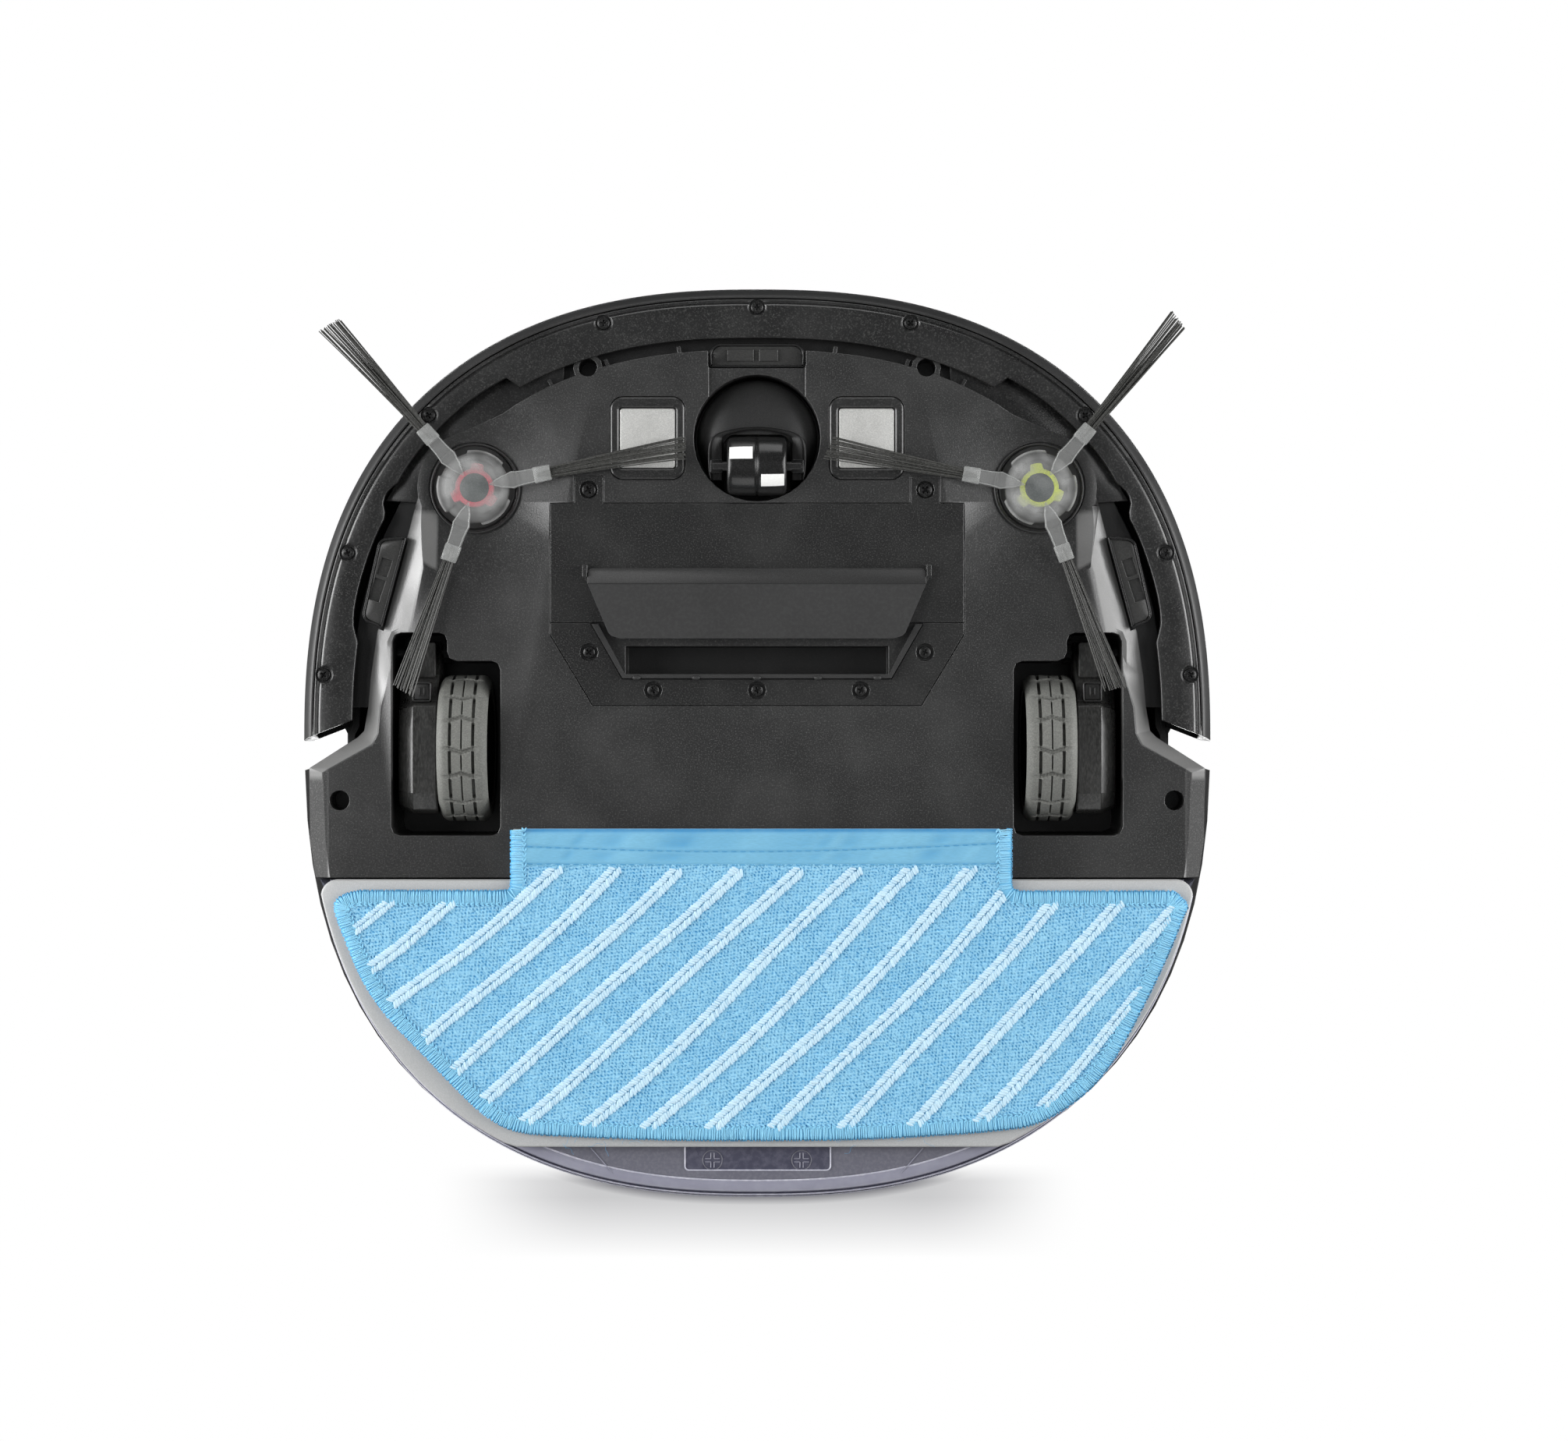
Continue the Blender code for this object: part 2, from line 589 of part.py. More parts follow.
def top_housing():
    wall = housing_outline(HOUSING_WALL_FRONT, [(0.140, -0.003), (0.140, 0.0028), (0.150, 0.008)])
    roof = housing_outline(HOUSING_PLATE_FRONT, [(0.1434, -0.003), (0.1434, 0.0028), (0.1515, 0.008)])
    housing = loft("top_housing", [
        (wall, HOUSING_Z), (wall, OVERHANG_Z), (roof, OVERHANG_Z), (roof, TOP_Z - 0.0012),
        (inset(roof, 0.0004), TOP_Z - 0.0004), (inset(roof, 0.0013), TOP_Z),
    ], BLACK)
    cavity = loft("housing_cavity", [
        (inset(wall, HOUSING_WALL), HOUSING_Z - PAST), (inset(wall, HOUSING_WALL), ROOF_INSIDE_Z),
    ])
    x0, y0, x1, y1 = LID
    room = 0.0004
    pocket = rounded(rectangle(x0 - room, y0 - 2 * room, x1 + room, y1 + room), LID_CORNER + room)
    opening = rounded(rectangle(x0 + 0.004, y0 + 0.006, x1 - 0.004, y1 - 0.004), LID_CORNER - 0.004)
    cuts = [
        cavity,
        plate("lid_pocket", [pocket], LID_LEDGE_Z, TOP_Z + PAST),
        plate("lid_opening", [opening], ROOF_INSIDE_Z - PAST, LID_LEDGE_Z + PAST),
        cone("button_hole", *BUTTON, (ROOF_INSIDE_Z - PAST, TOP_Z + PAST), (BUTTON_RADIUS + GAP,) * 2),
        rod("lid_pin_bore", (-0.071, 0.071), *LID_PIN, LID_PIN_RADIUS + GAP, sides=12),
    ]
    for side, sign in SIDES:
        near, far = LID_KNUCKLES[0] - 0.0015, LID_KNUCKLES[1] + 0.0015
        low_x, high_x = sorted((sign * near, sign * far))
        low_corner = (low_x, -0.0296, ROOF_INSIDE_Z - PAST)
        cuts.append(box(f"knuckle_room_{side}", low_corner, (high_x, -0.0230, 0.060)))
    for number in range(9):
        x = 0.012 * (number - 4)
        cuts.append(box(f"exhaust_slot_{number + 1}", (x - 0.004, 0.140, 0.036), (x + 0.004, 0.160, 0.047)))
    cut(housing, cuts)


def top_lid():
    x0, y0, x1, y1 = LID
    outline = rounded(rectangle(x0, y0, x1, y1), LID_CORNER)
    lid = loft("top_lid", [
        (outline, LID_Z), (outline, TOP_Z - 0.0005), (inset(outline, 0.0005), TOP_Z),
    ], BLACK)
    y, z = LID_PIN
    bores = []
    for side, sign in SIDES:
        span = (sign * LID_KNUCKLES[0], sign * LID_KNUCKLES[1])
        low_x, high_x = sorted(span)
        knuckle = rod(f"lid_knuckle_{side}", span, y, z, 0.0017)
        high_corner = (high_x - 0.0001, y0 + 0.0020, z + 0.0013)
        arm = box(f"lid_arm_{side}", (low_x + 0.0001, y, LID_Z + 0.0001), high_corner)
        join(lid, [knuckle, arm])
        bores.append(rod(f"lid_bore_{side}", (span[0] - sign * PAST, span[1] + sign * PAST), y, z,
                         LID_PIN_RADIUS + GAP, sides=12))
    cut(lid, bores)
    rod("lid_hinge_pin", (-0.070, 0.070), y, z, LID_PIN_RADIUS, STEEL, sides=12)


def start_button():
    button = turned("start_button", (*BUTTON, 0), [
        (0, 0.0573), (0.0050, 0.0572), (0.0082, 0.0569), (BUTTON_RADIUS, 0.0562), (BUTTON_RADIUS, 0.0526),
        (0.0106, 0.0526), (0.0106, 0.0508), (0.0030, 0.0508), (0.0030, 0.0400), (0, 0.0400),
    ], MID_GREY)
    smooth(button)


# Underside fittings

def cover_screw(name, x, y, head_z, reach):
    """A pan-head screw pointing up, its head at head_z."""
    screw = turned(name, (x, y, 0), [
        (0, head_z + reach), (0.0012, head_z + reach), (0.0012, head_z + 0.0011),
        (SCREW_RADIUS, head_z + 0.0011), (SCREW_RADIUS, head_z + 0.0004), (SCREW_RADIUS - 0.0006, head_z),
        (0, head_z),
    ], BLACK, steps=10)
    smooth(screw)


def screw_hole(name, x, y, top):
    """A cutter for a screw: a wide counterbore below, a narrow hole above."""
    return turned(name, (x, y, 0), [
        (0, top), (0.0015, top), (0.0015, 0.0099), (0.0031, 0.0099), (0.0031, 0.0060), (0, 0.0060),
    ], steps=12)


def battery_door():
    door = plate("battery_door", [door_outline()], FLOOR_Z, DOOR_TOP_Z, CHARCOAL)
    join(door, door_tabs("door_tab", FLOOR_Z, DOOR_TOP_Z))
    y, z = FLAP_HINGE
    for side, sign in SIDES:
        x = sign * DOOR_TAB[0]
        low_x, high_x = sorted((sign * 0.0571, sign * 0.0586))
        ear = box(f"flap_ear_{side}", (low_x, y - 0.0020, z - 0.0020), (high_x, y + 0.0020, FLOOR_Z + 0.0010))
        join(door, [ear])
        bore = rod(f"flap_bore_{side}", (sign * 0.0560, sign * 0.0595), y, z, 0.0011, sides=12)
        cut(door, [screw_hole(f"door_screw_hole_{side}", x, DOOR_SCREW_Y, 0.0120), bore])
        cover_screw(f"battery_screw_{side}", x, DOOR_SCREW_Y, 0.0086, 0.0068)


def mouth_outline():
    return whole([MOUTH_FRONT, MOUTH_REAR])


def inlet_frame():
    """A frame open at the front, where the battery door closes it."""
    (front_x, front_y), (rear_x, rear_y) = MOUTH_FRONT, MOUTH_REAR
    outline = [
        *FRAME_HALF, *[(-x, y) for x, y in reversed(FRAME_HALF)],
        (-front_x, front_y), (-rear_x, rear_y), (rear_x, rear_y), (front_x, front_y),
    ]
    frame = plate("inlet_frame", [outline], FLOOR_Z, FRAME_TOP_Z, CHARCOAL)
    for number, (x, y) in enumerate(FRAME_SCREWS, 1):
        cut(frame, [screw_hole(f"frame_screw_hole_{number}", x, y, 0.0120)])
        cover_screw(f"inlet_screw_{number}", x, y, 0.0086, 0.0068)


def inlet_lip():
    """A rubber strip along the sides and rear of the mouth, standing proud of it."""
    outer = inset(mouth_outline(), GAP)
    inner = inset(outer, LIP_WALL)
    (fx, fy), (rx, ry) = outer[0], outer[1]
    (ix, iy), (jx, jy) = inner[0], inner[1]
    half = [(fx, fy), (rx, ry)]
    back = [(jx, jy), (ix, fy)]
    outline = half + [(-x, y) for x, y in reversed(half)] + [(-x, y) for x, y in reversed(back)] + back
    plate("inlet_lip", [outline], *LIP_Z, BLACK)


def inlet_flap():
    """A thin flap hinged on the battery door, sloping back over the mouth."""
    y, z = FLAP_HINGE
    rear_x, rear_y = FLAP_REAR
    thickness = 0.0012
    half = [(FLAP_FRONT_HALF, y), (rear_x + 0.0012, rear_y - 0.0035), (rear_x - 0.0020, rear_y)]
    outline = whole(half)
    slope = (FLAP_REAR_Z - (z - 0.0003)) / (rear_y - y)
    bm = bmesh.new()
    rings = []
    for offset in (-thickness / 2, thickness / 2):
        heights = [z - 0.0003 + (py - y) * slope + offset for _, py in outline]
        rings.append([bm.verts.new((px, py, pz)) for (px, py), pz in zip(outline, heights)])
    for i in range(len(outline)):
        after = (i + 1) % len(outline)
        bm.faces.new((rings[0][i], rings[0][after], rings[1][after], rings[1][i]))
    bm.faces.new(rings[0])
    bm.faces.new(rings[1])
    flap = add_object("inlet_flap", mesh_from("inlet_flap", bm), DARK_GREY)
    barrel = rod("flap_barrel", (-FLAP_FRONT_HALF - 0.0002, FLAP_FRONT_HALF + 0.0002), y, z, 0.0013)
    pins = rod("flap_pins", (-0.0584, 0.0584), y, z, 0.0008, sides=12)
    join(flap, [barrel, pins])


def contacts():
    for side, sign in SIDES:
        x, y = sign * CONTACT[0], CONTACT[1]
        w, d = CONTACT_FRAME[0] / 2, CONTACT_FRAME[1] / 2
        pw, pd = CONTACT_PLATE[0] / 2, CONTACT_PLATE[1] / 2
        outer = rounded(rectangle(x - w, y - d, x + w, y + d), 0.0040, 4)
        hole = rounded(rectangle(x - pw - GAP, y - pd - GAP, x + pw + GAP, y + pd + GAP), 0.0012, 2)
        plate(f"contact_frame_{side}", [outer, hole], 0.0081, 0.0104, BLACK)
        face = rounded(rectangle(x - pw, y - pd, x + pw, y + pd), 0.0010, 2)
        plate(f"contact_plate_{side}", [face], 0.0084, 0.0096, SILVER)


def cliff_windows():
    front = plate("cliff_window_front", [rounded(rectangle(*FRONT_WINDOW), 0.0008, 2)], 0.0118, 0.0165, BLACK)
    cuts = [box("front_eye_room", (-0.0115, -0.1335, 0.0110), (0.0115, -0.1280, 0.0145))]
    cut(front, cuts)
    for side, sign in SIDES:
        outline = [(sign * x, y) for x, y in SIDE_WINDOW]
        plate(f"cliff_window_{side}", [outline], 0.0118, 0.0160, BLACK)


# Side brushes

def brush_motor(side, sign):
    motor = turned(f"brush_motor_{side}", (sign * BRUSH[0], BRUSH[1], 0), [
        (0, 0.0330), (0.0135, 0.0330), (MOTOR_RADIUS, 0.0320), (MOTOR_RADIUS, 0.0134), (0.0140, 0.0126),
        (0.0034, 0.0126), (0.0034, 0.0185), (0, 0.0185),
    ], BLACK)
    smooth(motor)


def radial_bar(name, centre, degrees, stations, finish=None):
    """A bar running out from the centre. A station is (distance, height, width, thickness)."""
    turn = math.radians(degrees)
    along = Vector((math.cos(turn), math.sin(turn), 0))
    across = Vector((-along.y, along.x, 0))
    bm = bmesh.new()
    rings = []
    for distance, height, width, thick in stations:
        middle = Vector((*centre, height)) + along * distance
        corners = ((-1, -1), (1, -1), (1, 1), (-1, 1))
        rings.append([
            bm.verts.new(middle + across * a * width / 2 + Vector((0, 0, b * thick / 2))) for a, b in corners
        ])
    for here, after in zip(rings, rings[1:]):
        for k in range(4):
            nearby = (k + 1) % 4
            bm.faces.new((here[k], here[nearby], after[nearby], after[k]))
    bm.faces.new(rings[0])
    bm.faces.new(rings[-1])
    return add_object(name, mesh_from(name, bm), finish)


def side_brush(side, sign):
    centre = (sign * BRUSH[0], BRUSH[1])
    hub = turned(f"brush_hub_{side}", (*centre, 0), [
        (0.0090, 0.0112), (0.0124, 0.0112), (HUB_RADIUS, 0.0106), (HUB_RADIUS, 0.0078), (0.0117, 0.0068),
        (0, 0.0068), (0, 0.0082), (0.0090, 0.0082),
    ], FROSTED, closed=True)
    smooth(hub)
    core = turned(f"brush_core_{side}", (*centre, 0), [
        (0, 0.0170), (0.0030, 0.0170), (0.0030, 0.0122), (0.0072, 0.0122), (0.0072, 0.0086), (0, 0.0086),
    ], RED if side == "right" else LIME)
    lobes = []
    for number, degrees in enumerate(ARM_ANGLES[side], 1):
        arm = radial_bar(f"brush_arm_{side}_{number}", centre, degrees, [
            (0.0105, 0.0084, 0.0056, 0.0030),
            (0.0150, 0.0070, 0.0054, 0.0032),
            (ARM_END, 0.0056, 0.0050, 0.0032),
        ])
        join(hub, [arm])
        lobe_turn = math.radians(degrees)
        x, y = centre[0] + 0.0064 * math.cos(lobe_turn), centre[1] + 0.0064 * math.sin(lobe_turn)
        lobes.append(cone(f"core_lobe_{side}_{number}", x, y, (0.0088, 0.0120), (0.0021, 0.0021), sides=12))
        radial_bar(f"brush_tuft_{side}_{number}", centre, degrees, [
            (ARM_END + GAP, 0.0055, 0.0030, 0.0020),
            (0.0500, 0.0030, 0.0056, 0.0018),
            (TUFT_END, 0.0012, 0.0085, 0.0012),
        ], DARK_GREY)
    join(core, lobes)


# Caster

def caster():
    x, y = SWIVEL
    turret = turned("caster_turret", (x, y, 0), [
        (0, 0.0330), (0.0032, 0.0330), (0.0040, 0.0322), (0.0040, 0.0250), (TURRET_RADIUS - 0.0008, 0.0250),
        (TURRET_RADIUS, 0.0242), (TURRET_RADIUS, 0.0140), (0, 0.0140),
    ], BLACK, steps=40)
    wheel_y = CASTER_WHEEL[1]
    yoke = plate("yoke", [rounded(rectangle(-0.0155, -0.1062, 0.0155, -0.0892), 0.002, 3)], 0.0078, 0.0145)
    pocket = plate("wheel_pocket", [rounded(rectangle(-0.0112, wheel_y - 0.0113, 0.0112, -0.0800), 0.001, 2)],
                   0.0050, 0.0215)
    bore = rod("axle_bore", (-0.0170, 0.0170), wheel_y, CASTER_WHEEL[2], 0.0019, sides=12)
    join(turret, [yoke])
    cut(turret, [pocket, bore])
    smooth(turret)
    rod("caster_axle", (-0.0150, 0.0150), wheel_y, CASTER_WHEEL[2], 0.0016, STEEL, sides=12)
    wheel = turned("caster_wheel", CASTER_WHEEL, [
        (0.0020, 0.0100), (0.0086, 0.0100), (0.0096, 0.0080), (CASTER_RADIUS, 0.0000),
        (0.0096, -0.0080), (0.0086, -0.0100), (0.0020, -0.0100),
    ], BLACK, steps=24, along_x=1, closed=True)
    smooth(wheel)


# Drive wheels

def drive_wheel(side, sign):
    x, y, z = sign * WHEEL[0], WHEEL[1], WHEEL[2]
    half = TYRE_WIDTH / 2
    tyre = turned(f"tyre_{side}", (x, y, z), [
        (TYRE_INSIDE, half), (TYRE_RADIUS - 0.0012, half), (TYRE_RADIUS, half - 0.0012),
        (TYRE_RADIUS, 0.0012 - half), (TYRE_RADIUS - 0.0012, -half), (TYRE_INSIDE, -half),
    ], RUBBER, steps=36, along_x=sign, closed=True)
    smooth(tyre)
    rim_radius = TYRE_INSIDE - GAP
    rim = turned(f"wheel_rim_{side}", (x, y, z), [
        (0, 0.0128), (0.0040, 0.0128), (0.0040, 0.0072), (rim_radius, 0.0072), (rim_radius, -0.0076),
        (0.0180, -0.0076), (0.0168, -0.0052), (0.0060, -0.0052), (0.0052, -0.0070), (0, -0.0070),
    ], BLACK, steps=24, along_x=sign)
    smooth(rim)
    body = [
        (-0.0352, 0.0270), (-0.0340, 0.0350), (-0.0220, 0.0400), (0.0060, 0.0450), (0.0200, 0.0400),
        (0.0242, 0.0320), (0.0242, 0.0150), (0.0190, 0.0090), (-0.0080, 0.0090), (-0.0150, 0.0140),
        (-0.0300, 0.0240),
    ]
    gearbox = plate(f"wheel_gearbox_{side}", [rounded(body, 0.002, 2)], 0.1079, 0.1214, BLACK)
    # The plate is drawn flat and stood up so that its thickness runs along X.
    stand = Matrix(((0, 0, sign, 0), (1, 0, 0, 0), (0, 1, 0, 0), (0, 0, 0, 1)))
    gearbox.data.transform(stand)
    if sign < 0:
        gearbox.data.flip_normals()
    cut(gearbox, [
        rod(f"hub_socket_{side}", (sign * 0.1070, sign * 0.1135), y, z, 0.0044, sides=20),
        rod(f"gearbox_pivot_bore_{side}", (sign * 0.1070, sign * 0.1225), *PIVOT, PIN_RADIUS + GAP),
    ])
    rod(f"pivot_pin_{side}", (sign * 0.1020, sign * 0.1250), *PIVOT, PIN_RADIUS, STEEL)
    spring = turned(f"suspension_spring_{side}", (sign * 0.1060, *PIVOT), [
        (0.0024, 0.0013), (0.0042, 0.0013), (0.0042, -0.0013), (0.0024, -0.0013),
    ], STEEL, steps=12, along_x=1, closed=True)
    smooth(spring)


# Inside

def power_and_control():
    box("battery_pack", (-0.0655, -0.0775, 0.0110), (0.0655, -0.0425, 0.0310), DARK_GREY)
    box("main_board", (-0.062, -0.122, 0.0360), (0.062, -0.046, 0.0376), BOARD_GREEN)


def dust_path():
    x0, y0, x1, y1 = DUST_BIN
    low, high = DUST_BIN_Z
    wall = 0.002
    half, mouth_low, mouth_high = BIN_MOUTH
    dust_bin = plate("dust_bin", [rounded(rectangle(*DUST_BIN), 0.004, 3)], low, high, SMOKE)
    cut(dust_bin, [
        plate("bin_inside", [rounded(rectangle(x0 + wall, y0 + wall, x1 - wall, y1 - wall), 0.003, 3)],
              low + wall, high + PAST),
        box("bin_mouth", (-half, y0 - PAST, mouth_low), (half, y0 + wall + 0.001, mouth_high)),
        box("filter_opening", (-0.030, y1 - wall - 0.001, 0.0200), (0.030, y1 + PAST, 0.0440)),
    ])
    box("dust_filter", (-0.0295, y1 - 0.0017, 0.0205), (0.0295, y1 + 0.0005, 0.0435), PALE_GREY)
    x, y = BLOWER
    bottom, top = BLOWER_Z
    blower = cone("blower_housing", x, y, BLOWER_Z, (BLOWER_RADIUS, BLOWER_RADIUS), BLACK, sides=36)
    snout = box("blower_snout", (-0.022, 0.0440, 0.0320), (0.022, 0.0700, 0.0480))
    tail = box("blower_tail", (-0.018, 0.115, 0.0330), (0.018, 0.132, 0.0470))
    join(blower, [snout, tail])
    cut(blower, [
        cone("blower_inside", x, y, (bottom + 0.0016, top - 0.0016), (0.0295, 0.0295)),
        box("snout_inside", (-0.020, 0.0420, 0.0340), (0.020, 0.0720, 0.0460)),
        box("tail_inside", (-0.016, 0.112, 0.0350), (0.016, 0.134, 0.0450)),
    ])
    impeller = turned("impeller", (x, y, 0), [
        (0, 0.0455), (0.0060, 0.0450), (0.0080, 0.0370), (IMPELLER_RADIUS, 0.0362),
        (IMPELLER_RADIUS, 0.0345), (0, 0.0345),
    ], MID_GREY, steps=32)
    blades = []
    for number in range(7):
        blade = box(f"blade_{number + 1}", (0.0070, -0.0008, 0.0358), (0.0262, 0.0008, 0.0440))
        blade.rotation_euler.z = 2 * math.pi * number / 7
        blade.location = (x, y, 0)
        blades.append(blade)
    join(impeller, blades)


# Mop

def mop_outline(radius, front_y, rear_y, tongue_half, corner):
    """Shoulders at front_y with a tongue forward to TONGUE_Y, sides on the outline, and a straight rear."""
    shoulder_x = outline_point(radius, outline_angle(radius, front_y))[0]
    start = outline_angle(radius, front_y + corner)
    side = outline_arc(radius, start, outline_angle(radius, rear_y), 21)
    half = [
        (tongue_half, TONGUE_Y), (tongue_half, front_y), (shoulder_x - corner, front_y),
        (shoulder_x - 0.3 * corner, front_y + 0.3 * corner), *side,
    ]
    return whole(half)


def mop():
    tank_arc = rear_arc(TANK_RADIUS, 0.050, 31)
    corner_x = 0.1510
    tank_outline = [(corner_x, TANK_FRONT_Y), (-corner_x, TANK_FRONT_Y)] + tank_arc
    low, high = TANK_Z
    tank = loft("tank_body", [
        (inset(tank_outline, 0.0012), low), (tank_outline, low + 0.0012), (tank_outline, high - 0.0010),
        (inset(tank_outline, 0.0010), high),
    ], SMOKE)
    inside = inset(tank_outline, TANK_WALL)
    x, y, radius = FILLER
    cut(tank, [
        plate("tank_inside", [inside], low + TANK_WALL, high - TANK_WALL),
        cone("filler_hole", x, y, (high - TANK_WALL - 0.001, high + PAST), (radius, radius), sides=24),
    ])
    smooth(tank)
    plug = turned("tank_plug", (x, y, 0), [
        (0, high - 0.0002), (radius - 0.0006, high - 0.0002), (radius - 0.0004, high - 0.0030),
        (radius - 0.0012, high - 0.0045), (0, high - 0.0045),
    ], RUBBER)
    smooth(plug)
    board = mop_outline(PLATE_RADIUS, PLATE_FRONT_Y, PLATE_REAR_Y, TONGUE_HALF, 0.006)
    plate("mop_plate", [board], *PLATE_Z, MID_GREY)
    cloth = mop_outline(CLOTH_RADIUS, CLOTH_FRONT_Y, CLOTH_REAR_Y, TONGUE_HALF + 0.0007, 0.010)
    plate("mop_cloth", [cloth], *CLOTH_Z, BLUE)


def main():
    fresh_scene()
    base_chassis()
    top_housing()
    top_lid()
    start_button()
    bumper_shell()
    bumper_ring()
    battery_door()
    inlet_frame()
    inlet_lip()
    inlet_flap()
    contacts()
    cliff_windows()
    for side, sign in SIDES:
        brush_motor(side, sign)
        side_brush(side, sign)
        drive_wheel(side, sign)
    caster()
    power_and_control()
    dust_path()
    mop()


main()
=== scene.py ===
"""The robot vacuum's looks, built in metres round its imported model, and seen from straight below."""

import math
import random

import bmesh
import bpy
import numpy as np
from mathutils import Matrix, Vector


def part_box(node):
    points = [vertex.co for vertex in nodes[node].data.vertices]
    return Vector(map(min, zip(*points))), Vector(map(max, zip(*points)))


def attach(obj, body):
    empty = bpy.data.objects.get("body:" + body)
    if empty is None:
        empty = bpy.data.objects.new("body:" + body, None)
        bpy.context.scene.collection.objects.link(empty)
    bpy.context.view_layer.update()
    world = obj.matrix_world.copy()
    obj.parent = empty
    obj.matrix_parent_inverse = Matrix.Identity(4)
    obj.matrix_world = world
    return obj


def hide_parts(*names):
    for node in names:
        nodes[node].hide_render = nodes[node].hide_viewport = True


SIDES = (("left", 1), ("right", -1))
OUTLINE_POWER = 2.43
BODY_RADIUS = 0.155
MM = 0.001

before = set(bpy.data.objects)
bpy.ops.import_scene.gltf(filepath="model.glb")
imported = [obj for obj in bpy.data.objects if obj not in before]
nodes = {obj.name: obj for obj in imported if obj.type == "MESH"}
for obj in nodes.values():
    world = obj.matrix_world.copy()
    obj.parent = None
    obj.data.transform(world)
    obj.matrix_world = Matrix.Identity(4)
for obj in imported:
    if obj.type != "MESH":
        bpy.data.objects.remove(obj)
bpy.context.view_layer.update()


def middle_of(node):
    low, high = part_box(node)
    return (low + high) / 2


# Materials

def link(tree, start, end):
    tree.links.new(start, end)


def new_material(name, colour, roughness, metallic=0.0, **sockets):
    material = bpy.data.materials.new(name)
    material.use_nodes = True
    tree = material.node_tree
    shader = tree.nodes["Principled BSDF"]
    shader.inputs["Base Color"].default_value = (*colour, 1)
    shader.inputs["Roughness"].default_value = roughness
    shader.inputs["Metallic"].default_value = metallic
    for socket, value in sockets.items():
        shader.inputs[socket.replace("_", " ")].default_value = value
    return material, tree, shader


def place_of(tree, stretch=(1, 1, 1)):
    """Object coordinates, which are the machine's own metres."""
    coordinates = tree.nodes.new("ShaderNodeTexCoord")
    mapping = tree.nodes.new("ShaderNodeMapping")
    mapping.inputs["Scale"].default_value = stretch
    link(tree, coordinates.outputs["Object"], mapping.inputs["Vector"])
    return mapping.outputs["Vector"]


def noise(tree, place, size, detail=2.0, roughness=0.5):
    node = tree.nodes.new("ShaderNodeTexNoise")
    node.inputs["Scale"].default_value = 1 / size
    node.inputs["Detail"].default_value = detail
    node.inputs["Roughness"].default_value = roughness
    link(tree, place, node.inputs["Vector"])
    return node.outputs["Fac"]


def spread(tree, value, low, high, out_low=0.0, out_high=1.0):
    node = tree.nodes.new("ShaderNodeMapRange")
    node.inputs["From Min"].default_value = low
    node.inputs["From Max"].default_value = high
    node.inputs["To Min"].default_value = out_low
    node.inputs["To Max"].default_value = out_high
    link(tree, value, node.inputs["Value"])
    return node.outputs["Result"]


def maths(tree, operation, *values):
    node = tree.nodes.new("ShaderNodeMath")
    node.operation = operation
    for socket, value in zip(node.inputs, values):
        if isinstance(value, (int, float)):
            socket.default_value = value
        else:
            link(tree, value, socket)
    return node.outputs["Value"]


def vector_maths(tree, operation, vector, constant=(0, 0, 0)):
    node = tree.nodes.new("ShaderNodeVectorMath")
    node.operation = operation
    link(tree, vector, node.inputs[0])
    node.inputs[1].default_value = constant
    return node


def colour_mix(tree, factor, first, second):
    """A colour between two, where each is a colour or a socket."""
    node = tree.nodes.new("ShaderNodeMixRGB")
    link(tree, factor, node.inputs["Fac"])
    for socket, colour in ((node.inputs["Color1"], first), (node.inputs["Color2"], second)):
        if isinstance(colour, tuple):
            socket.default_value = (*colour, 1)
        else:
            link(tree, colour, socket)
    return node.outputs["Color"]


def bumped(tree, shader, height, depth, edge=0.0):
    bump = tree.nodes.new("ShaderNodeBump")
    bump.inputs["Distance"].default_value = depth
    bump.inputs["Strength"].default_value = 1.0
    link(tree, height, bump.inputs["Height"])
    if edge:
        bevel = tree.nodes.new("ShaderNodeBevel")
        bevel.samples = 4
        bevel.inputs["Radius"].default_value = edge
        link(tree, bevel.outputs["Normal"], bump.inputs["Normal"])
    link(tree, bump.outputs["Normal"], shader.inputs["Normal"])


def moulded(name, dark, light, roughness, grain=0.5 * MM, depth=0.03 * MM, edge=0.3 * MM, cloud=0.02,
            metallic=0.0, stretch=(1, 1, 1), swing=0.08, specks=(0.42, 0.68), **sockets):
    """Moulded plastic, rubber or metal: a fine grain in height and colour, and slow patches in gloss."""
    material, tree, shader = new_material(name, dark, roughness, metallic, **sockets)
    place = place_of(tree, stretch)
    fine = noise(tree, place, grain, 2.0, 0.6)
    patches = noise(tree, place, cloud, 3.0)
    speck = spread(tree, fine, *specks)
    tint = colour_mix(tree, speck, dark, light)
    worn = colour_mix(tree, spread(tree, patches, 0.45, 0.75, 0.0, 0.12), tint, light)
    link(tree, worn, shader.inputs["Base Color"])
    link(tree, spread(tree, patches, 0.3, 0.7, roughness - swing, roughness + swing),
         shader.inputs["Roughness"])
    bumped(tree, shader, fine, depth, edge)
    return material


charcoal = moulded("charcoal_textured", (0.014, 0.014, 0.014), (0.085, 0.085, 0.083), 0.32, 0.46 * MM,
                   0.04 * MM, swing=0.03, specks=(0.52, 0.76), Specular_IOR_Level=1.0)
ring_charcoal = moulded("charcoal_ring", (0.009, 0.009, 0.009), (0.066, 0.066, 0.064), 0.29, 0.46 * MM,
                        0.03 * MM, swing=0.03, specks=(0.52, 0.76), Specular_IOR_Level=0.9)
satin = moulded("satin_black", (0.022, 0.022, 0.022), (0.040, 0.040, 0.040), 0.38, 0.25 * MM, 0.01 * MM)
shell_black = moulded("shell_black", (0.020, 0.020, 0.020), (0.038, 0.038, 0.038), 0.46, 0.25 * MM,
                      0.01 * MM, Specular_IOR_Level=0.4)
